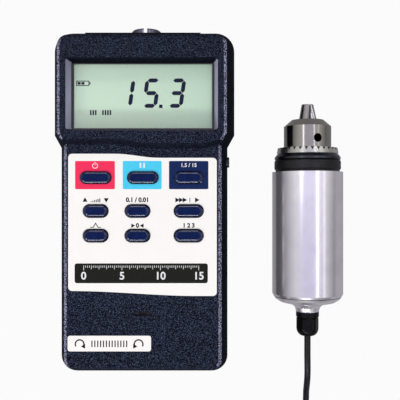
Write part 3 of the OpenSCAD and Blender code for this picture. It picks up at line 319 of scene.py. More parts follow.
def satin_plastic(name, colour, deep, rough=0.4, level=0.4, grain=0.25, height=0.004):
    """Smooth plastic or rubber with a faint cloud in its colour and its gloss."""
    paint = Paint(name)
    cloud = paint.noise(4, 3)
    fine = paint.noise(grain, 2)
    return paint.finish(
        Base_Color=paint.mix(cloud.step(0.3, 0.7), deep, colour),
        Roughness=cloud * 0.16 + fine * 0.1 + rough - 0.12,
        Specular_IOR_Level=level,
        Normal=paint.bump(fine, height),
    )


def metal(name, colour, deep, rough=0.3, stretch=(1, 1, 1)):
    """Metal with lathe or brush lines along the axes whose factor in stretch is small."""
    paint = Paint(name)
    lines = paint.noise(0.3, 3, 0.6, paint.stretched(stretch))
    cloud = paint.noise(6, 2)
    return paint.finish(
        Base_Color=paint.mix(lines * 0.5 + cloud * 0.5, deep, colour),
        Metallic=1.0,
        Roughness=lines * 0.12 + cloud * 0.08 + rough - 0.1,
        Normal=paint.bump(lines, 0.003),
    )


def make_key_material():
    """Navy key with a lacquered rim; where the rim falls away its colour is painted almost black as
    shade.
    """
    paint = Paint("key_gloss")
    _, _, up = paint.facing()
    rim = (0.89 - up).step(0.0, 0.18)
    cloud = paint.noise(2.5, 3)
    fine = paint.noise(0.5, 2)
    colour = paint.mix(cloud.step(0.3, 0.7), (0.003, 0.010, 0.056), (0.004, 0.015, 0.084))
    return paint.finish(
        # Painted shade: the falling rim is darkened almost to black
        Base_Color=paint.mix(rim * 0.9, colour, (0.0005, 0.0007, 0.002)),
        Roughness=cloud * 0.1 + fine * 0.05 + 0.2,
        Specular_IOR_Level=0.06,
        Coat_Weight=(0.965 - up).step(0.0, 0.04),
        Coat_Roughness=0.1,
        Normal=paint.bump(fine, 0.002),
    )


def make_label_material(name):
    """Cream printed film with a fine orange-peel surface."""
    paint = Paint(name)
    cloud = paint.noise(9, 2)
    fine = paint.noise(0.3, 2)
    return paint.finish(
        Base_Color=paint.mix(cloud.step(0.3, 0.7), (0.955, 0.945, 0.865), (0.975, 0.965, 0.885)),
        Roughness=fine * 0.12 + 0.34,
        Specular_IOR_Level=0.35,
        Normal=paint.bump(fine, 0.004),
    )


def ink(name, colour, deep):
    """Screen-printed ink with small uneven patches of its colour."""
    paint = Paint(name)
    patch = paint.noise(1.6, 3, 0.6)
    fine = paint.noise(0.2, 2)
    return paint.finish(
        Base_Color=paint.mix(patch.step(0.35, 0.7), deep, colour),
        Roughness=fine * 0.14 + 0.37,
        Specular_IOR_Level=0.15,
        Normal=paint.bump(fine, 0.003),
    )


def make_display_material():
    """Reflective display: pale green, painted lighter at the lower left as light falling across it, with
    a faint grain.
    """
    paint = Paint("display_green")
    x, y, _ = paint.axes()
    # Painted light: the colour is lighter towards the lower left
    slope = (x * 0.0062 + (y - VIEW_Y) * 0.0085 + 0.42).clamped()
    colour = paint.mix(slope, (0.76, 0.96, 0.73), (0.53, 0.74, 0.56))
    grain = paint.noise(0.7, 2)
    colour = paint.mix(grain.step(0.35, 0.75) * 0.18, colour, (0.44, 0.64, 0.47))
    return paint.finish(
        Base_Color=colour,
        Roughness=grain * 0.1 + 0.4,
        Specular_IOR_Level=0.3,
        Normal=paint.bump(grain, 0.003),
    )


def make_window_material():
    """Clear acrylic window, with the black border that is printed round its back."""
    paint = Paint("window_clear")
    x, y, _ = paint.axes()
    across = x.math("ABSOLUTE") > VIEW_HALF_W
    along = (y - VIEW_Y).math("ABSOLUTE") > VIEW_HALF_L
    border = across.math("MAXIMUM", along)
    haze = paint.noise(3, 2)
    return paint.finish(
        Base_Color=paint.mix(border, (0.10, 0.12, 0.10), (0.004, 0.005, 0.009)),
        Alpha=border * 0.96 + 0.04,
        Roughness=haze * 0.06 + 0.05,
        Specular_IOR_Level=0.5,
        Normal=paint.bump(haze, 0.004),
    )


def make_barrel_material(name, rough):
    """Satin anodised tube: fine turning rings round the axis, and painted shade along the joint with the
    end cap.
    """
    paint = Paint(name)
    _, y, _ = paint.axes()
    joint = (CAP_JOINT_HALF - (y - CAP_JOINT_Y).math("ABSOLUTE")).step(0.0, 0.08)
    rings = paint.noise(0.25, 3, 0.6, paint.stretched(FINELY_LATHED))
    cloud = paint.noise(9, 2)
    colour = paint.mix(cloud.step(0.3, 0.7), (0.78, 0.76, 0.80), (0.86, 0.84, 0.88))
    return paint.finish(
        # Painted shade: a dark line along the end cap's joint
        Base_Color=paint.mix(joint, colour, (0.02, 0.02, 0.022)),
        Metallic=0.87,
        Roughness=rings * 0.08 + rough,
        Normal=paint.bump(rings, 0.0015),
    )


def sensor_reach(paint):
    """Distance from the sensor's axis, in millimetres."""
    x, _, z = paint.axes()
    return ((x - SENSOR_X) * (x - SENSOR_X) + (z - SENSOR_Z) * (z - SENSOR_Z)).math("SQRT")


def make_chuck_material():
    """Ground steel, with painted shade in the key holes and in the band behind the sleeve's teeth."""
    paint = Paint("chuck_steel")
    _, y, _ = paint.axes()
    lines = paint.noise(0.3, 3, 0.6, paint.stretched(LATHED))
    cloud = paint.noise(6, 2)
    # Painted shade: the key holes and the band just behind the sleeve are darkened
    hole = (KEY_HOLES_FLOOR_R - sensor_reach(paint)).step(0.0, 0.3)
    hole = hole * (KEY_HOLES_FRONT_Y - y).step(0.0, 0.1)
    shaded = (SLEEVE_SHADOW_Y - y).step(0.0, 0.25).math("MAXIMUM", hole)
    colour = paint.mix(lines * 0.5 + cloud * 0.5, (0.23, 0.225, 0.205), (0.38, 0.37, 0.34))
    return paint.finish(
        Base_Color=paint.mix(shaded * 0.96, colour, PAINTED_SHADE),
        Metallic=1.0,
        Roughness=lines * 0.12 + cloud * 0.08 + 0.06,
        Normal=paint.bump(lines, 0.003),
    )


def make_sleeve_material():
    """Key chuck sleeve: bright gear ring whose tooth gaps, narrower inwards, and roots are painted dark
    as shade, and a dark skirt.
    """
    paint = Paint("chuck_sleeve_finish")
    x, y, z = paint.axes()
    around = (z - SENSOR_Z).math("ARCTAN2", x - SENSOR_X) * (GEAR_TEETH / TURN)
    off_gap = ((around + 0.5).math("FRACT") - 0.5).math("ABSOLUTE") * 2
    depth = SLEEVE_FRONT_Y - y
    gap = (TOOTH_GAP - depth * TOOTH_GAP_FALL - off_gap).step(0.0, 0.1)
    root = (GEAR_ROOT_R - sensor_reach(paint)).step(0.0, 0.2).math("MAXIMUM", gap)
    bright = y.step(GEAR_BACK_Y - 0.15, GEAR_BACK_Y) * (1 - root * 0.97)
    lines = paint.noise(0.3, 3, 0.6, paint.stretched(LATHED))
    steel = paint.mix(lines, (0.50, 0.50, 0.46), (0.72, 0.72, 0.67))
    dark = paint.mix(lines, (0.030, 0.031, 0.038), (0.075, 0.078, 0.092))
    # Painted shade: tooth roots take the skirt's dark colour, and the gaps go darker still
    dark = paint.mix(gap, dark, PAINTED_SHADE)
    return paint.finish(
        Base_Color=paint.mix(bright, dark, steel),
        Metallic=1.0,
        Roughness=lines * 0.1 + 0.2,
        Normal=paint.bump(lines, 0.003),
    )


def make_board_material(name):
    """Green solder mask over copper tracks, with gold pads."""
    paint = Paint(name)
    x, y, _ = paint.axes()
    lanes = (x * 1.1 + paint.noise(14, 1) * 6).math("FRACT")
    track = lanes.step(0.4, 0.5) * (0.9 - lanes).step(0.0, 0.1)
    pads = (0.16 - paint.cells(3.2)).step(0.0, 0.03)
    colour = paint.mix(track, (0.010, 0.075, 0.030), (0.020, 0.130, 0.050))
    colour = paint.mix(pads, colour, (0.75, 0.55, 0.20))
    fine = paint.noise(0.3, 2)
    return paint.finish(
        Base_Color=colour,
        Metallic=pads,
        Roughness=fine * 0.15 + 0.3,
        Normal=paint.bump(track + pads, 0.03),
    )


def make_battery_material():
    """Printed battery can: a dark wrap that is copper-coloured on one side."""
    paint = Paint("battery_wrap")
    x, _, _ = paint.axes()
    wrap = x.step(BATTERY_WRAP_X, BATTERY_WRAP_X + 0.4)
    cloud = paint.noise(3, 3)
    dark = paint.mix(cloud, (0.012, 0.012, 0.014), (0.030, 0.030, 0.034))
    copper = paint.mix(cloud, (0.45, 0.22, 0.09), (0.62, 0.33, 0.14))
    return paint.finish(
        Base_Color=paint.mix(wrap, dark, copper),
        Metallic=wrap * 0.8,
        Roughness=cloud * 0.15 + 0.28,
        Normal=paint.bump(cloud, 0.01),
    )


# Main and darker colour of what several pieces are made of
ZINC = ((0.66, 0.66, 0.67), (0.42, 0.42, 0.44))
GILT = ((0.95, 0.70, 0.32), (0.78, 0.52, 0.20))
SEAL_RUBBER = ((0.012, 0.012, 0.012), (0.008, 0.008, 0.008))
GLAND_NYLON = ((0.003, 0.003, 0.003), (0.0015, 0.0015, 0.002))

# Each finish has its own name, its main and its darker colour, and its roughness
FINISHES = {
    "front_case": moulded("case_front_grain", *NAVY, highlights=edge_highlights),
    "rear_case": moulded("case_rear_grain", *NAVY),
    "battery_door": moulded("door_grain", *NAVY),
    "socket_panel": moulded(
        "panel_grain",
        (0.005, 0.006, 0.012),
        (0.002, 0.002, 0.005),
        (0.02, 0.02, 0.03),
        grain=0.4,
        height=0.02,
    ),
    "face_label": make_label_material("label_print"),
    "badge_plate": make_label_material("badge_print"),
    "lcd_window": make_window_material(),
    "lcd_glass": make_display_material(),
    "lcd_frame": satin_plastic("frame_plastic", (0.03, 0.03, 0.035), (0.02, 0.02, 0.022)),
    "lcd_connectors": satin_plastic("contact_rubber", (0.55, 0.50, 0.48), (0.30, 0.26, 0.25), 0.6),
    "main_board": make_board_material("board_mask"),
    "board_chips": satin_plastic("chip_epoxy", (0.022, 0.022, 0.024), (0.012, 0.012, 0.013), 0.5),
    "sounder": satin_plastic("sounder_shell", (0.03, 0.03, 0.032), (0.02, 0.02, 0.021)),
    "tact_switches": metal("switch_tin", (0.62, 0.62, 0.60), (0.40, 0.40, 0.40), 0.35),
    "case_screws": metal("case_screw_zinc", *ZINC),
    "board_screws": metal("board_screw_zinc", *ZINC),
    "battery": make_battery_material(),
    "battery_snap": satin_plastic("snap_vinyl", (0.02, 0.02, 0.022), (0.012, 0.012, 0.013), 0.45),
    "battery_leads": satin_plastic("lead_vinyl", (0.50, 0.02, 0.02), (0.32, 0.01, 0.01), 0.35),
    "socket_shell": metal("socket_nickel", (0.17, 0.165, 0.22), (0.08, 0.078, 0.11), 0.16),
    "socket_insert": satin_plastic("insert_phenolic", (0.016, 0.016, 0.018), (0.010, 0.010, 0.011), 0.5),
    "socket_contacts": metal("contact_gilt", *GILT, 0.22),
    "output_jack": satin_plastic("jack_plastic", (0.014, 0.014, 0.016), (0.008, 0.008, 0.009), 0.35),
    "sensor_barrel": make_barrel_material("barrel_anodised", 0.17),
    "end_cap": make_barrel_material("cap_anodised", 0.25),
    "front_collar": satin_plastic(
        "collar_black", (0.005, 0.005, 0.007), (0.003, 0.003, 0.004), 0.35, level=0.3
    ),
    "end_cap_seal": satin_plastic("seal_rubber", *SEAL_RUBBER, 0.7),
    "torsion_shaft": metal("shaft_steel", (0.62, 0.61, 0.60), (0.45, 0.44, 0.43), 0.25, LATHED),
    "front_bearing": metal("bearing_steel", (0.70, 0.70, 0.70), (0.50, 0.50, 0.51), 0.2, LATHED),
    "strain_gauges": satin_plastic("gauge_film", (0.55, 0.33, 0.08), (0.40, 0.22, 0.05), 0.3),
    "shaft_anchor": metal("anchor_aluminium", (0.74, 0.74, 0.75), (0.58, 0.58, 0.60), 0.3, LATHED),
    "anchor_screws": metal("anchor_screw_steel", (0.10, 0.10, 0.11), (0.05, 0.05, 0.055), 0.35),
    "gauge_board": make_board_material("gauge_board_mask"),
    "chuck_body": make_chuck_material(),
    "chuck_screw": metal("chuck_screw_steel", (0.35, 0.35, 0.36), (0.22, 0.22, 0.23), 0.3),
    "chuck_sleeve": make_sleeve_material(),
    "chuck_nut": metal("nut_steel", (0.45, 0.45, 0.45), (0.30, 0.30, 0.31), 0.3, LATHED),
    "gland_body": satin_plastic("gland_body_nylon", *GLAND_NYLON, 0.34, level=0.14),
    "gland_seal": satin_plastic("gland_seal_rubber", *SEAL_RUBBER, 0.7),
    "plug_contacts": metal("plug_pin_gilt", *GILT, 0.22),
}
for jaw in ("jaw_1", "jaw_2", "jaw_3"):
    FINISHES[jaw] = metal(jaw + "_steel", (0.56, 0.56, 0.54), (0.38, 0.38, 0.37), 0.2, BRUSHED_ALONG)

KEY_FINISH = make_key_material()
SHEATH_FINISH = satin_plastic(
    "cable_sheath",
    (0.007, 0.007, 0.008),
    (0.004, 0.004, 0.005),
    0.42,
    level=0.3,
    grain=0.2,
    height=0.01,
)
TIE_FINISH = satin_plastic("tie_nylon", (0.03, 0.03, 0.032), (0.018, 0.018, 0.019), 0.38)
PLUG_FINISH = satin_plastic(
    "plug_rubber",
    (0.016, 0.016, 0.018),
    (0.009, 0.009, 0.010),
    0.5,
    level=0.35,
    grain=0.3,
    height=0.01,
)
NICKEL_FINISH = metal("plug_nickel", (0.72, 0.70, 0.67), (0.52, 0.50, 0.48), 0.22)
GLAND_FINISH = satin_plastic("gland_nut_nylon", *GLAND_NYLON, 0.26, level=0.14)
KNURL_FINISH = satin_plastic(
    "knurl_black", (0.004, 0.004, 0.005), (0.002, 0.002, 0.003), 0.26, level=0.55
)

INK = {
    "crimson": ink("ink_crimson", (0.96, 0.034, 0.115), (0.92, 0.030, 0.100)),
    "cyan": ink("ink_cyan", (0.085, 0.67, 0.90), (0.070, 0.62, 0.86)),
    "navy": ink("ink_navy", (0.003, 0.019, 0.100), (0.002, 0.014, 0.080)),
    "black": ink("ink_black", (0.008, 0.008, 0.012), (0.006, 0.006, 0.009)),
    "olive": ink("ink_title", (0.010, 0.011, 0.006), (0.007, 0.008, 0.004)),
    "white": ink("ink_white", (0.88, 0.88, 0.86), (0.82, 0.82, 0.80)),
    "segment": ink("display_segment", (0.006, 0.010, 0.045), (0.004, 0.007, 0.032)),
}

# Meshes

# Thickness of the ink, and a font's size over the height of its capitals
PRINT = 0.03
CAPITALS_TO_FONT = 1.38

PILL_STEPS = 80


def add_mesh(name, points, faces, paint, body=HOUSING, sharp=32):
    """A closed mesh from points in millimetres; its faces are turned outwards."""
    mesh = bpy.data.meshes.new(name)
    points = np.asarray(points, float) * MM
    mesh.from_pydata(points.tolist(), [], [list(face) for face in faces])
    mesh.validate()
    piece = put(name, mesh)
    dress(piece, paint, body, sharp)
    if enclosed(mesh) < 0:
        mesh.flip_normals()
    return piece


def coat(piece, paint):
    """Gives a piece that material alone."""
    piece.data.materials.clear()
    piece.data.materials.append(paint)


def dress(piece, paint, body, sharp=32):
    """Gives a piece its material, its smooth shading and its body."""
    coat(piece, paint)
    piece.data.shade_smooth()
    piece.data.set_sharp_from_angle(angle=math.radians(sharp))
    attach(piece, body)


def places_of(mesh):
    """The mesh's points in metres, one in each row."""
    places = np.empty(len(mesh.vertices) * 3)
    mesh.vertices.foreach_get("co", places)
    return places.reshape(-1, 3)


def enclosed(mesh):
    """The signed volume: a sixth of the sum of each triangle's triple product."""
    mesh.calc_loop_triangles()
    corners = np.empty(len(mesh.loop_triangles) * 3, np.int32)
    mesh.loop_triangles.foreach_get("vertices", corners)
    a, b, c = places_of(mesh)[corners.reshape(-1, 3)].transpose(1, 0, 2)
    return float(np.einsum("ij,ij->i", a, np.cross(b, c)).sum() / 6)


def grid_faces(rows, columns, closed_rows=False):
    """Quads between rings of points that are kept ring by ring.

    With closed_rows the last ring is joined to the first as well.
    """
    last_row = rows if closed_rows else rows - 1
    row, column = np.meshgrid(np.arange(last_row), np.arange(columns), indexing="ij")
    row, column = row.ravel(), column.ravel()
    next_row, next_column = (row + 1) % rows, (column + 1) % columns
    return np.stack(
        [
            row * columns + column,
            row * columns + next_column,
            next_row * columns + next_column,
            next_row * columns + column,
        ],
        1,
    ).tolist()


def stack_faces(rows, columns):
    """The faces of rings laid one on the next, with the first and last ring closed."""
    faces = grid_faces(rows, columns)
    faces.append(list(range(columns)))
    faces.append([(rows - 1) * columns + column for column in range(columns)])
    return faces


def merged(*parts):
    """Several (points, faces) pairs as one."""
    points, faces, start = [], [], 0
    for part_points, part_faces in parts:
        part_points = np.asarray(part_points, float).reshape(-1, 3)
        points.append(part_points)
        faces += [[index + start for index in face] for face in part_faces]
        start += len(part_points)
    return np.concatenate(points), faces


def pill(centre, width, length, inset):
    """Round-ended outline: two half circles of half the length, drawn in by the inset."""
    angle = (np.arange(PILL_STEPS) + 0.5) / PILL_STEPS * TURN
    radius = length / 2
    reach = width / 2 - radius
    side = np.sign(np.cos(angle))
    x = centre[0] + side * reach + (radius - inset) * np.cos(angle)
    y = centre[1] + (radius - inset) * np.sin(angle)
    return np.stack([x, y], 1)


def rounded_box(low, high, radius, steps=5):
    """Outline of a rectangle whose corners are quarter circles of the radius."""
    quarter = np.linspace(0, TURN / 4, steps + 1)
    angle = np.concatenate([quarter + turn * TURN / 4 for turn in range(4)])
    side_x = np.repeat([1, -1, -1, 1], steps + 1)
    side_y = np.repeat([1, 1, -1, -1], steps + 1)
    middle = (np.asarray(low, float) + np.asarray(high, float)) / 2
    half = (np.asarray(high, float) - np.asarray(low, float)) / 2 - radius
    x = middle[0] + side_x * half[0] + radius * np.cos(angle)
    y = middle[1] + side_y * half[1] + radius * np.sin(angle)
    return np.stack([x, y], 1)


def levels(outlines, heights):
    """Points of plane outlines that stand at the heights, one row for each."""
    rows = [
        np.column_stack([outline, np.full(len(outline), height)])
        for outline, height in zip(outlines, heights)
    ]
    return np.concatenate(rows)


def printed(name, outlines, paint, low, thick=PRINT):
    """Flat print of that thickness; an outline inside another one is a hole in it."""
    curve = bpy.data.curves.new(name, "CURVE")
    curve.dimensions = "2D"
    curve.fill_mode = "BOTH"
    curve.extrude = thick / 2 * MM
    for outline in outlines:
        outline = np.asarray(outline, float) * MM
        spline = curve.splines.new("POLY")
        spline.points.add(len(outline) - 1)
        padded = np.column_stack([outline, np.zeros(len(outline)), np.ones(len(outline))])
        spline.points.foreach_set("co", padded.ravel())
        spline.use_cyclic_u = True
    return settle(name, curve, paint, (0, 0), low + thick / 2)


def settle(name, curve, paint, centre, height):
    """Makes a curve or lettering a mesh, then moves its points to their place."""
    drawn = put(name + "_drawn", curve)
    bpy.context.view_layer.update()
    mesh = bpy.data.meshes.new_from_object(drawn)
    bpy.data.objects.remove(drawn)
    bpy.data.curves.remove(curve)
    places = places_of(mesh) + np.array([*centre, height]) * MM
    mesh.vertices.foreach_set("co", places.ravel())
    piece = put(name, mesh)
    dress(piece, paint, HOUSING)
    return piece


def figures(name, text, centre, size, paint, low, weight=0.06):
    """Plain numbers of that capital height, centred on a place; weight makes them bolder."""
    letters = bpy.data.curves.new(name, "FONT")
    letters.body = text
    letters.size = size * MM * CAPITALS_TO_FONT
    letters.align_x = "CENTER"
    letters.align_y = "CENTER"
    letters.extrude = PRINT / 2 * MM
    letters.offset = weight * MM
    return settle(name, letters, paint, centre, low + PRINT / 2)


def turned_rings(profile, steps, centre, swell=None):
    """A profile of (y, radius) turned round the line along Y through the centre (x, z).

    swell adds to the radius what it works out from the place along and the angle around.
    """
    profile = np.asarray(profile, float)
    angle = np.arange(steps) / steps * TURN
    along, around = np.meshgrid(profile[:, 0], angle, indexing="ij")
    radius = np.repeat(profile[:, 1:2], steps, 1)
    if swell is not None:
        radius = radius + swell(along, around)
    x = centre[0] + radius * np.sin(around)
    z = centre[1] + radius * np.cos(around)
    return np.stack([x, along, z], 2).reshape(-1, 3)


# Cable

CABLE_D = 3.4

# The same points as in the CAD model's source
CABLE_ROUTE = [
    [87, -68, 18.6], [87, -71, 18.6], [87, -76, 18.6], [87, -81, 18.5],
    [87.1, -85.5, 18.2], [87.3, -90, 17.1], [87.5, -94, 15.3], [87.7, -97.5, 12.9],
    [87.9, -100.5, 10.2], [88.1, -103.5, 7.6], [88.4, -107, 5.3], [88.6, -111, 3.5],
    [88.8, -115, 2.4], [88.9, -119, 1.9], [89, -124, 1.8], [89, -129, 2.3],
    [89, -133, 2.7],
]
TAIL_ROUTE = [
    [59, -163, 14.4], [55, -163, 13.8], [51, -163, 12.6], [47, -163, 10.9],
    [43, -163, 9.3], [39.5, -163, 8.1], [36, -163, 7.5], [32.5, -163, 7.5],
]

COIL_X = 66
COIL_Y = -140
COIL_R = 23
COIL_PITCH = 3.9
COIL_TURNS = 9.25
COIL_LAYERS = 4
COIL_BASE_Z = 2.7
COIL_STEPS = 40
LAYER_TURNS = COIL_TURNS / COIL_LAYERS
COIL_INNER_R = COIL_R - COIL_PITCH * LAYER_TURNS
CORD_SIDES = 16
ROUTE_STEPS = 4
TAIL_STEPS = 3


def coil_points():
    """Turns of a coil that is laid in layers, one on the next.

    The radius sweeps in over one layer and out over the next, and the height eases up by a
    layer in the half turn where the radius turns back.
    """
    turn = np.arange(int(COIL_TURNS * COIL_STEPS) + 1) / COIL_STEPS
    share = turn / LAYER_TURNS
    whole = np.floor(share)
    part = share - whole
    sweep = np.where(whole % 2 == 0, part, 1 - part)
    radius = COIL_R - (COIL_R - COIL_INNER_R) * sweep
    near = np.clip(np.floor(turn / LAYER_TURNS + 0.5), 0, COIL_LAYERS - 1)
    rise = np.clip(2 * (turn - near * LAYER_TURNS) + 0.5, 0, 1)
    layer = np.where(near < 1, 0, near - 1 + rise * rise * (3 - 2 * rise))
    angle = turn * TURN
    x = COIL_X + radius * np.cos(angle)
    y = COIL_Y - radius * np.sin(angle)
    return np.stack([x, y, COIL_BASE_Z + COIL_PITCH * layer], 1)


def eased(points, steps):
    """Smooth curve through the points, with that many steps between two of them.

    Each stretch is a cubic whose slope at a point is half the way between its neighbours.
    """
    points = np.asarray(points, float)
    padded = np.concatenate([2 * points[:1] - points[1:2], points, 2 * points[-1:] - points[-2:-1]])
    share = (np.arange(steps) / steps)[None, :, None]
    a, b, c, d = (padded[start : start + len(points) - 1, None, :] for start in range(4))
    curve = 0.5 * (
        2 * b
        + (c - a) * share
        + (2 * a - 5 * b + 4 * c - d) * share**2
        + (3 * b - a - 3 * c + d) * share**3
    )
    return np.concatenate([curve.reshape(-1, 3), points[-1:]])


def swept(path, radius):
    """A round tube: circles square to the path, their first axis level with the floor."""
    path = np.asarray(path, float)
    ahead = np.gradient(path, axis=0)
    ahead /= np.linalg.norm(ahead, axis=1)[:, None]
    level = np.cross(ahead, [0, 0, 1.0])
    level /= np.linalg.norm(level, axis=1)[:, None]
    upward = np.cross(level, ahead)
    angle = np.arange(CORD_SIDES) / CORD_SIDES * TURN
    rings = path[:, None, :] + radius * (
        np.cos(angle)[None, :, None] * level[:, None, :]
        + np.sin(angle)[None, :, None] * upward[:, None, :]
    )
    return rings.reshape(-1, 3)


def make_cable():
    """One lead from the sensor's gland: it drops to the table, is coiled, and ends in the plug."""
    coil = coil_points()
    joined = np.concatenate([CABLE_ROUTE, [coil[0] + [0, CABLE_D, 0]]])
    leaving = eased(joined, ROUTE_STEPS)
    tail = eased(np.concatenate([[coil[-1] - [CABLE_D, 0, 0]], TAIL_ROUTE]), TAIL_STEPS)
    path = np.concatenate([leaving, coil, tail])
    lead = add_mesh(
        "sensor_lead",
        swept(path, CABLE_D / 2),
        stack_faces(len(path), CORD_SIDES),
        SHEATH_FINISH,
    )
    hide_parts("sensor_cable", "cable_coil", "cable_tail")
    length = float(np.linalg.norm(np.diff(path, axis=0), axis=1).sum())
    return lead, path, length


# Plug and tie

PLUG_X = 33
PLUG_Y = -163
PLUG_Z = 7.5
PLUG_GROOVE = 0.45
RELIEF_L = 11
RELIEF_TAIL_R = 2.5
RELIEF_GRIP_R = 3.6
RELIEF_HOLE_R = 1.6
RELIEF_RING_PITCH = 2.2
RELIEF_PLAIN_END = 0.6
RELIEF_STEPS = 40
GRIP_L = 28
GRIP_R = 7.5
GRIP_HOLE_R = 2.0
GRIP_RIBS = 10
GRIP_STEPS = 56

# Shares of the grip's length, and the slope of its rim
GRIP_SHOULDER_END = 0.16
GRIP_RIBS_START = 0.34
GRIP_RIBS_END = 0.86
GRIP_RIM_START = 0.975
GRIP_RIM_SLOPE = 24

TIE_LOW = (40.25, 0.0)
TIE_HIGH = (54.77, 17.15)
TIE_Y = -140
TIE_HALF_W = 1.25
TIE_WALL = 0.85
TIE_CORNERS = (2.2, 1.4)
TIE_HEAD = (47.4, 14.75)
TIE_HEAD_HALF = 1.6


def along_plug(points):
    """Turns a piece made along +Y about the origin to run along -X from the tail."""
    points = np.asarray(points, float)
    x = PLUG_X - points[:, 1]
    return np.stack([x, PLUG_Y + points[:, 0], PLUG_Z + points[:, 2]], 1)


def turned_on_plug(name, along, radius, hole, steps):
    """A turned piece of the plug, whose two ends close in to the hole's radius."""
    wall = np.stack([along, radius], 1)
    profile = np.concatenate([[[along[0], hole]], wall, [[along[-1], hole]]])
    return add_mesh(
        name,
        along_plug(turned_rings(profile, steps, (0, 0))),
        stack_faces(len(profile), steps),
        PLUG_FINISH,
    )


def make_plug():
    """Cable relief with its rings, moulded grip with finger ribs, and the metal shell.

    The relief is a cone. The grip rises from it as a rounded shoulder and narrows at its
    rim. Both have a groove wherever a cosine of the length is high.
    """
    along = np.linspace(0, RELIEF_L, 67)
    cone = RELIEF_TAIL_R + (RELIEF_GRIP_R - RELIEF_TAIL_R) * along / RELIEF_L
    ringed = (along > RELIEF_PLAIN_END) & (along < RELIEF_L - RELIEF_PLAIN_END)
    groove = (np.cos(TURN * along / RELIEF_RING_PITCH) > 0.35) & ringed
    radius = cone - PLUG_GROOVE * groove
    relief = turned_on_plug("plug_relief_ringed", along, radius, RELIEF_HOLE_R, RELIEF_STEPS)
    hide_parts("plug_relief")

    share = np.linspace(0, 1, 113)
    shoulder = np.sqrt(1 - (1 - np.clip(share / GRIP_SHOULDER_END, 0, 1)) ** 2.2)
    ribbed = (share > GRIP_RIBS_START) & (share < GRIP_RIBS_END)
    groove = (np.cos(TURN * share * GRIP_RIBS) > 0.2) & ribbed
    radius = RELIEF_GRIP_R + (GRIP_R - RELIEF_GRIP_R) * shoulder - PLUG_GROOVE * groove
    radius -= np.clip(share - GRIP_RIM_START, 0, 1) * GRIP_RIM_SLOPE
    along = RELIEF_L + GRIP_L * share
    grip = turned_on_plug("plug_grip_ribbed", along, radius, GRIP_HOLE_R, GRIP_STEPS)
    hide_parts("plug_grip")
    return [relief, grip, NODES["plug_shell"], NODES["plug_contacts"]]


def make_tie():
    """Nylon tie round the turns: a flat band, and the locking head within its top."""
    low, high = np.array(TIE_LOW), np.array(TIE_HIGH)
    outer = rounded_box(low, high, TIE_CORNERS[0], 8)
    inner = rounded_box(low + TIE_WALL, high - TIE_WALL, TIE_CORNERS[1], 8)
    rings = []
    for outline, side in ((outer, -1), (outer, 1), (inner, 1), (inner, -1)):
        y = np.full(len(outline), TIE_Y + side * TIE_HALF_W)
        rings.append(np.column_stack([outline[:, 0], y, outline[:, 1]]))
    band = (np.stack(rings).reshape(-1, 3), grid_faces(4, len(outer), closed_rows=True))
    square = rounded_box([-TIE_HEAD_HALF] * 2, [TIE_HEAD_HALF] * 2, 0.5, 4)
    head = levels([square * share for share in (0.86, 1, 1, 0.86)], [0, 0.3, 2.0, 2.3])
    head += [TIE_HEAD[0], TIE_Y, TIE_HEAD[1]]
    points, faces = merged(band, (head, stack_faces(4, len(square))))
    tie = add_mesh("cable_tie_band", points, faces, TIE_FINISH)
    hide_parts("cable_tie")
    return tie


# The camera, and the cable as a free cord with its plug and its tie

make_camera()
lead, lead_path, lead_length = make_cable()
plug_pieces = make_plug()
tie = make_tie()

# Keypad

LABEL_TOP = 27.3
KEY_L = 6.6
KEY_TOP = 28.3
KEY_FOOT_Z = 26.2

# The crown stands that much over the CAD key's top, and falls that much to its wall
KEY_RISE = 0.65
KEY_DROP = 1.65

# Half the flat ridge on the crown, and how far the wall covers the CAD key's
KEY_RIDGE = 0.08
KEY_GROWTH = 0.02

# The three columns of keys and signs
LEFT_X = -24.3
MIDDLE_X = -2.6
RIGHT_X = 24

# The place and the width of each key
KEYS = {
    "button_power": (LEFT_X, 12.7, 16.5),
    "button_hold": (0.2, 12.7, 16.5),
    "button_sensor_type": (RIGHT_X, 12.7, 15.2),
    "button_max_min": (LEFT_X, -4.6, 13),
    "button_resolution": (MIDDLE_X, -4.6, 13),
    "button_fast_slow": (RIGHT_X, -4.6, 15.2),
    "button_peak": (LEFT_X, -17.4, 13),
    "button_zero": (MIDDLE_X, -17.4, 13),
    "button_unit": (RIGHT_X, -17.4, 15.2),
}


def make_key(node, body, x, y, width):
    """Pillow-shaped key: its top falls away as an ellipse of the inset from the wall."""
    share = 1 - np.cos(np.linspace(0, TURN / 4, 14))
    inset = share * (KEY_L / 2 - KEY_RIDGE)
    fall = 1 - (1 - (1 - inset / inset[-1]) ** 2) ** 0.5
    heights = np.concatenate([[KEY_FOOT_Z], KEY_TOP + KEY_RISE - KEY_DROP * fall])
    insets = np.concatenate([[0], inset]) - KEY_GROWTH
    outlines = [pill((x, y), width, KEY_L, value) for value in insets]
    return add_mesh(
        node + "_cap",
        levels(outlines, heights),
        stack_faces(len(outlines), len(outlines[0])),
        KEY_FINISH,
        body=body,
        sharp=50,
    )


BODIES = frame["record"]["behaviour"]["bodies"]
BODY_OF = {node: body for body, nodes in BODIES.items() for node in nodes}

for node, (key_x, key_y, key_width) in KEYS.items():
    make_key(node, BODY_OF[node], key_x, key_y, key_width)

# Label print

COLOUR_BOXES = {
    "crimson": (-34.95, -14.3),
    "cyan": (-10.2, 9.96),
    "navy": (13.75, 34.2),
}
BOX_LOW = 6.7
BOX_HIGH = 21.35
BOX_CORNER = 0.7
TITLE_LOW = (-35.2, -42.05)
TITLE_HIGH = (33.9, -31.8)
TITLE_CORNER = 1.2
ON_BOX = LABEL_TOP + PRINT
BOLD = 0.14
UP = TURN / 4

# Middles of the three rows of signs
ROW_1 = 19.1
ROW_2 = 1.1
ROW_3 = -12.2

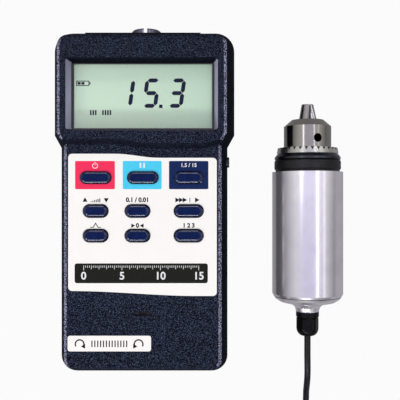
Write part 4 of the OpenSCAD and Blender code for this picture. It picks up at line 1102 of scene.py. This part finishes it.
SCALE_LEFT = -30.5
SCALE_RIGHT = 29.2
SCALE_TOP = -32.9
SCALE_STEPS = 60
SCALE_NUMBER_Y = -38.4
SCALE_NUMBER_H = 4.0
TICK_HALF_W = 0.13
TICK_L = 1.1
UNIT_TICK_L = 1.9
FIVE_TICK_L = 2.4

BADGE_LOW = (-38.85, -77.45)
BADGE_HIGH = (4.45, -69.35)
BADGE_CORNER = 1.2
BADGE_THICK = 0.35
BADGE_Y = -73.7
TURN_SIGN_X = (-32.6, -2.0)
TURN_SIGN_OUTER_R = 2.6
TURN_SIGN_INNER_R = 1.9
TURN_SIGN_SWEEP = 2.1
TURN_SIGN_HEAD = 2.2
MARK_X = -26.5
MARK_Y = (-75.2, -71.8)
MARK_W = 0.6
MARK_PITCH = 1.5

POWER_X = -24.6
POWER_OUTER_R = 1.5
POWER_INNER_R = 1.15
POWER_HALF_GAP = 0.42
ARROW_L = 2.3
ZERO_ARROW_L = 2.0
SIGN_H = 2.2

for ink_name, (left, right) in COLOUR_BOXES.items():
    outline = rounded_box((left, BOX_LOW), (right, BOX_HIGH), BOX_CORNER)
    printed("box_" + ink_name, [outline], INK[ink_name], LABEL_TOP)
printed("title_box", [rounded_box(TITLE_LOW, TITLE_HIGH, TITLE_CORNER)], INK["olive"], LABEL_TOP)


def bar(x0, y0, x1, y1):
    """A plain rectangle."""
    return np.array([[x0, y0], [x1, y0], [x1, y1], [x0, y1]], float)


def arrow(x, y, size, turn=0.0):
    """A filled triangle that points along +X before it is turned."""
    corners = np.array([[0.6, 0], [-0.4, 0.55], [-0.4, -0.55]]) * size
    cos, sin = math.cos(turn), math.sin(turn)
    return corners @ np.array([[cos, sin], [-sin, cos]]) + [x, y]


def arc_band(start, end, outer, inner):
    """A band between two circles about the origin; its angles start at +Y."""
    angle = np.linspace(start, end, 40)
    arc = np.stack([np.sin(angle), np.cos(angle)], 1)
    return np.concatenate([arc * outer, arc[::-1] * inner])


def on_box(name, outlines):
    """A white sign printed over one of the boxes."""
    printed(name, outlines, INK["white"], ON_BOX)


def on_label(name, outlines):
    """A black sign printed on the cream film."""
    printed(name, outlines, INK["black"], LABEL_TOP)


def make_upper_signs():
    """White signs on the colour boxes: a power ring, two bars and a pair of ranges."""
    ring = arc_band(POWER_HALF_GAP, TURN - POWER_HALF_GAP, POWER_OUTER_R, POWER_INNER_R)
    ring += [POWER_X, ROW_1 - 0.2]
    stroke = bar(POWER_X - 0.18, ROW_1 + 0.1, POWER_X + 0.18, ROW_1 + 1.6)
    hold = [bar(x, ROW_1 - 1.3, x + 0.9, ROW_1 + 1.3) for x in (-1.5, 0.4)]
    on_box("legend_power", [ring])
    on_box("legend_power_stroke", [stroke])
    on_box("legend_hold", hold)
    figures("legend_range", "1.5 / 15", (RIGHT_X, ROW_1), 2.0, INK["white"], ON_BOX)


def make_middle_signs():
    """Black signs of the second row: steps between arrows, fine numbers, fast and slow."""
    steps = [
        bar(-26.9 + 0.9 * k, ROW_2 - 1.1, -26.4 + 0.9 * k, ROW_2 - 0.7 + 0.3 * k) for k in range(6)
    ]
    fast = [arrow(x, ROW_2, ARROW_L) for x in (18.0, 19.9, 21.8)]
    on_label("legend_max", [arrow(-29.8, ROW_2, ARROW_L, UP)])
    on_label("legend_steps", steps)
    on_label("legend_min", [arrow(-18.8, ROW_2, ARROW_L, -UP)])
    place = (MIDDLE_X, ROW_2)
    figures("legend_resolution", "0.1 / 0.01", place, 2.3, INK["black"], LABEL_TOP, BOLD)
    on_label("legend_fast", fast)
    on_label("legend_split", [bar(24.4, ROW_2 - 1.1, 24.8, ROW_2 + 1.1)])
    on_label("legend_slow", [arrow(28.2, ROW_2, ARROW_L)])


def make_lower_signs():
    """Black signs of the third row: a pulse, a zero between arrows, and three numbers."""
    pulse = np.array([
        [-2.2, -0.9], [-0.9, -0.9], [0, 1.1], [0.9, -0.9], [2.2, -0.9],
        [2.2, -0.5], [1.15, -0.5], [0, 1.9], [-1.15, -0.5], [-2.2, -0.5],
    ])
    on_label("legend_peak", [pulse * [1.25, 0.95] + [LEFT_X, ROW_3 - 0.2]])
    figures("legend_zero", "0", (MIDDLE_X, ROW_3), SIGN_H, INK["black"], LABEL_TOP, BOLD)
    on_label("legend_zero_left", [arrow(-5.0, ROW_3, ZERO_ARROW_L)])
    on_label("legend_zero_right", [arrow(-0.2, ROW_3, ZERO_ARROW_L, TURN / 2)])
    figures("legend_unit", "1 2 3", (RIGHT_X, ROW_3), SIGN_H, INK["black"], LABEL_TOP, BOLD)


def make_title_scale():
    """White torque scale in the title box: a tick for each quarter unit, a number every five."""
    ticks = []
    for index in range(SCALE_STEPS + 1):
        x = SCALE_LEFT + (SCALE_RIGHT - SCALE_LEFT) * index / SCALE_STEPS
        length = FIVE_TICK_L if index % 20 == 0 else UNIT_TICK_L if index % 4 == 0 else TICK_L
        ticks.append(bar(x - TICK_HALF_W, SCALE_TOP - length, x + TICK_HALF_W, SCALE_TOP))
    on_box("scale_ticks", ticks)
    for index in range(4):
        x = SCALE_LEFT + (SCALE_RIGHT - SCALE_LEFT) * index / 3
        number = str(5 * index)
        place = (x, SCALE_NUMBER_Y)
        figures("scale_number_" + number, number, place, SCALE_NUMBER_H, INK["white"], ON_BOX, 0.12)


def make_badge():
    """Round-cornered badge film with two turn arrows and a row of marks."""
    badge = printed(
        "badge_film",
        [rounded_box(BADGE_LOW, BADGE_HIGH, BADGE_CORNER)],
        FINISHES["badge_plate"],
        LABEL_TOP - BADGE_THICK,
        thick=BADGE_THICK,
    )
    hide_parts("badge_plate")
    sweep = TURN_SIGN_SWEEP
    band = arc_band(-sweep, sweep, TURN_SIGN_OUTER_R, TURN_SIGN_INNER_R)
    tip = np.array([math.sin(sweep), math.cos(sweep)]) * (TURN_SIGN_OUTER_R + TURN_SIGN_INNER_R) / 2
    for number, x, side in zip((1, 2), TURN_SIGN_X, (1, -1)):
        on_label(f"turn_arc_{number}", [band + [x, BADGE_Y]])
        head_x, head_y = tip * [side, 1] + [x, BADGE_Y]
        head = arrow(head_x, head_y, TURN_SIGN_HEAD, TURN / 2 if side > 0 else 0)
        on_label(f"turn_head_{number}", [head])
    marks = []
    for index in range(13):
        x = MARK_X + MARK_PITCH * index
        marks.append(bar(x, MARK_Y[0], x + MARK_W, MARK_Y[1]))
    on_label("badge_marks", marks)


make_upper_signs()
make_middle_signs()
make_lower_signs()
make_title_scale()
make_badge()

# Display

GLASS_TOP = 23.8
READING_Y = 57.1
READING = (("1", -8.9), ("5", 4.3), ("3", 17.7))
DIGIT_W = 8.0
DIGIT_H = 15.4
DIGIT_SLANT = 0.14
SEGMENT_W = 2.1
SEGMENT_GAP = 0.14
SEGMENTS = {
    "1": "bc",
    "3": "abgcd",
    "5": "afgcd",
}


def digit(character, x, y):
    """Seven-segment figure: six-sided bars, leaning by the slant, with gaps at their ends."""
    half = SEGMENT_W / 2
    w, h = DIGIT_W / 2 - half, DIGIT_H / 2 - half
    ends = {
        "a": ((-w, h), (w, h)),
        "b": ((w, 0), (w, h)),
        "c": ((w, -h), (w, 0)),
        "d": ((-w, -h), (w, -h)),
        "f": ((-w, 0), (-w, h)),
        "g": ((-w, 0), (w, 0)),
    }
    outlines = []
    for letter in SEGMENTS[character]:
        start, end = (np.array(point, float) for point in ends[letter])
        ahead = (end - start) / np.linalg.norm(end - start)
        side = np.array([-ahead[1], ahead[0]]) * half
        start, end = start + ahead * SEGMENT_GAP, end - ahead * SEGMENT_GAP
        near, far = start + ahead * half, end - ahead * half
        outline = np.array([start, near + side, far + side, end, far - side, near - side])
        outline[:, 0] += outline[:, 1] * DIGIT_SLANT
        outlines.append(outline + [x, y])
    return outlines


def make_display():
    """The reading with its point, a charge sign and two groups of unit marks on the glass."""

    def shown(name, outlines):
        printed(name, outlines, INK["segment"], GLASS_TOP)

    for number, (character, x) in enumerate(READING, 1):
        shown(f"reading_{number}", digit(character, x, READING_Y))
    shown("reading_point", [rounded_box((8.4, 49.3), (10.2, 51.1), 0.3)])
    case = [bar(-35.0, 60.9, -28.2, 63.6), bar(-34.6, 61.3, -28.6, 63.2)]
    cells = [bar(x, 61.6, x + 1.6, 62.9) for x in (-34.3, -32.3)]
    shown("charge_sign", case + cells + [bar(-28.1, 61.6, -27.6, 62.9)])
    marks = [-27.8 + 1.3 * index for index in range(3)] + [-21.4 + 1.3 * index for index in range(4)]
    shown("unit_marks", [bar(x, 45.6, x + 0.8, 48.2) for x in marks])


make_display()

# Sensor

KNURL_BACK_Y = 17.15
KNURL_FRONT_Y = 21.85
KNURL_R = 17.15
KNURL_WALL = 0.6
KNURL_HEIGHT = 0.40
KNURL_FADE = 0.35
KNURL_PITCH = 1.25
KNURL_DIAMONDS = 84
KNURL_STEPS = 8 * KNURL_DIAMONDS
KNURL_ROWS = 34

NUT_FRONT_Y = -61.2
NUT_SHOULDER_Y = -66.6
NUT_END_Y = -70.9
NUT_DOME_L = NUT_SHOULDER_Y - NUT_END_Y
NUT_R = 5.85
NUT_CHAMFER_R = 5.35
NUT_CHAMFER_L = 0.35
NUT_RIM_L = 0.9
NUT_MOUTH_R = 2.15
NUT_HOLE_R = (1.95, 1.75)
NUT_FLAT = 5.45
NUT_STEPS = 72


def knurl_height(along, around):
    """The lower of two triangle waves that lean opposite ways, faded out at both edges."""
    across = around * KNURL_DIAMONDS / TURN
    lean = (along - KNURL_BACK_Y) / KNURL_PITCH
    first = np.abs((across + lean) % 1 - 0.5) * 2
    second = np.abs((across - lean) % 1 - 0.5) * 2
    edge = np.clip(np.minimum(along - KNURL_BACK_Y, KNURL_FRONT_Y - along) / KNURL_FADE, 0, 1)
    return KNURL_HEIGHT * np.minimum(first, second) * edge


def make_knurl():
    """Diamond knurl: a thin sleeve on the collar's rim whose outside rises in points."""
    along = np.linspace(KNURL_BACK_Y, KNURL_FRONT_Y, KNURL_ROWS)
    outside = np.column_stack([along, np.full(KNURL_ROWS, KNURL_R)])
    inside = [[y, KNURL_R - KNURL_WALL] for y in (KNURL_BACK_Y, KNURL_FRONT_Y)]
    profile = np.concatenate([inside[:1], outside, inside[1:]])
    points = turned_rings(profile, KNURL_STEPS, (SENSOR_X, SENSOR_Z), knurl_height)
    faces = grid_faces(len(profile), KNURL_STEPS, closed_rows=True)
    return add_mesh("collar_knurl", points, faces, KNURL_FINISH, sharp=60)


def make_gland_nut():
    """Gland nut: six flats on the cylinder, which the domed end cuts off in arcs.

    The radius is the lower of two: the round profile's, and the flats' distance over the
    cosine of the angle from the middle of the nearest flat.
    """
    rim = [NUT_FRONT_Y, NUT_FRONT_Y, NUT_FRONT_Y - NUT_CHAMFER_L]
    barrel = np.linspace(NUT_FRONT_Y - NUT_RIM_L, NUT_SHOULDER_Y, 9)
    dome = NUT_SHOULDER_Y - NUT_DOME_L * np.sin(np.linspace(0.1, TURN / 4, 12))
    along = np.concatenate([rim, barrel, dome, [NUT_END_Y]])
    share = np.clip((NUT_SHOULDER_Y - along) / NUT_DOME_L, 0, 1)
    radius = NUT_MOUTH_R + (NUT_R - NUT_MOUTH_R) * np.sqrt(1 - share**2) ** 0.9
    radius[1] = NUT_CHAMFER_R
    radius[0], radius[-1] = NUT_HOLE_R
    angle = np.arange(NUT_STEPS) / NUT_STEPS * TURN
    flat = NUT_FLAT / np.cos((angle + TURN / 12) % (TURN / 6) - TURN / 12)
    reach = np.minimum(radius[:, None], flat[None, :])
    x = SENSOR_X + reach * np.sin(angle)
    y = np.repeat(along[:, None], NUT_STEPS, 1)
    z = SENSOR_Z + reach * np.cos(angle)
    nut = add_mesh(
        "gland_nut_hexagon",
        np.stack([x, y, z], 2).reshape(-1, 3),
        stack_faces(len(along), NUT_STEPS),
        GLAND_FINISH,
    )
    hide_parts("gland_nut")


make_knurl()
make_gland_nut()

# Finishes of the pieces that are taken over from the CAD model

for node, piece in NODES.items():
    if node in FINISHES:
        coat(piece, FINISHES[node])
    elif node.startswith("button"):
        coat(piece, KEY_FINISH)
    elif node.startswith("plug"):
        coat(piece, NICKEL_FINISH)

# Floor, surround and lamps

FLOOR_REACH = 3.0
SKY_STRENGTH = 1.10

# Stops of the surround's colour by height, and of its strength from the foot to the head
SKY_BY_HEIGHT = [
    (0.0, (0.20, 0.19, 0.20)),
    (0.35, (0.42, 0.41, 0.43)),
    (0.68, (0.66, 0.65, 0.68)),
    (1.0, (0.69, 0.655, 0.84)),
]
SKY_ALONG = [
    (0.0, (0.5, 0.5, 0.5)),
    (0.44, (0.86, 0.86, 0.88)),
    (0.5, (0.95, 0.95, 0.96)),
    (0.53, (1.35, 1.35, 1.30)),
    (0.64, (1.25, 1.25, 1.22)),
    (0.82, (0.6, 0.6, 0.6)),
    (1.0, (0.3, 0.3, 0.3)),
]

# Name, place, target, size and radiance of each lamp, in metres
LAMPS = (
    ("strip_high", (0.478, 0.0, 0.94), (0.087, 0, 0.02), (0.055, 1.6), 3.2),
    ("strip_low", (0.80, 0.0, 0.72), (0.087, 0, 0.02), (0.08, 1.4), 0.8),
    ("panel_front", (-0.38, 0.24, 0.90), (0.087, 0.24, 0.02), (0.10, 0.40), 3.4),
    ("strip_foot", (-0.15, -1.05, 0.78), (0, 0, 0.02), (0.80, 0.10), 22.0),
    ("strip_head", (-0.05, 1.10, 0.80), (0, 0, 0.02), (0.60, 0.14), 8.0),
    ("glint_left", (-0.62, -0.60, 0.60), (0, 0, 0.02), (0.20, 0.22), 12.0),
)


def make_floor():
    """Pale floor that reads as white paper and keeps the object's soft shadow."""
    mesh = bpy.data.meshes.new("floor")
    corners = [(FLOOR_REACH * x, FLOOR_REACH * y, 0) for x, y in ((-1, -1), (1, -1), (1, 1), (-1, 1))]
    mesh.from_pydata(corners, [], [(0, 1, 2, 3)])
    floor = put("floor", mesh)
    paint = Paint("floor_paper")
    camera, glossy, clear = (
        paint.node("ShaderNodeLightPath", output=name)
        for name in ("Is Camera Ray", "Is Glossy Ray", "Is Transmission Ray")
    )
    seen = camera * 0.95 + glossy.math("MAXIMUM", clear) * 0.08
    paper = paint.node("ShaderNodeBsdfDiffuse", inputs={"Color": (0.34, 0.34, 0.34, 1)})
    glow = paint.node("ShaderNodeEmission", inputs={"Color": (1, 1, 1, 1), "Strength": 1.0})
    blend = paint.node("ShaderNodeMixShader", inputs={0: seen, 1: paper, 2: glow})
    paint.node("ShaderNodeOutputMaterial", inputs={"Surface": blend})
    mesh.materials.append(paint.material)


def make_world():
    """Studio surround: lilac-grey overhead, dim at the horizon, brightest just ahead of the top."""
    sky = Paint("studio", bpy.data.worlds)
    bpy.context.scene.world = sky.material
    direction = sky.node("ShaderNodeTexCoord", output="Generated")
    _, ahead, up = sky.parts(direction)
    height = sky.node("ShaderNodeValToRGB", {"stops": SKY_BY_HEIGHT}, {"Fac": up})
    along = sky.node("ShaderNodeValToRGB", {"stops": SKY_ALONG}, {"Fac": ahead * 0.5 + 0.5})
    colour = sky.mix(1.0, height, along, "MULTIPLY")
    light = {"Color": colour, "Strength": SKY_STRENGTH}
    paper = {"Color": (0.95, 0.95, 0.95, 1), "Strength": 1.0}
    studio = sky.node("ShaderNodeBackground", inputs=light)
    white = sky.node("ShaderNodeBackground", inputs=paper)
    seen = sky.node("ShaderNodeLightPath", output="Is Camera Ray")
    backdrop = sky.node("ShaderNodeMixShader", inputs={0: seen, 1: studio, 2: white})
    sky.node("ShaderNodeOutputWorld", inputs={"Surface": backdrop})


def make_lamp(name, place, target, size, radiance):
    """A flat white lamp of that size, turned from its place to its target."""
    data = bpy.data.lights.new(name, "AREA")
    data.shape = "RECTANGLE"
    data.size, data.size_y = size
    data.energy = radiance * math.pi * size[0] * size[1]
    lamp = put(name, data)
    aim = np.array(target, float) - np.array(place, float)
    aim /= np.linalg.norm(aim)
    side = np.cross([0, 1.0, 0], -aim)
    side /= np.linalg.norm(side)
    upward = np.cross(-aim, side)
    matrix = np.eye(4)
    matrix[:3, 0], matrix[:3, 1], matrix[:3, 2], matrix[:3, 3] = side, upward, -aim, place
    lamp.matrix_world = Matrix(matrix.tolist())


make_floor()
make_world()
for lamp_name, place, target, size, radiance in LAMPS:
    make_lamp(lamp_name, place, target, size, radiance)

bpy.context.scene.view_settings.view_transform = "Standard"
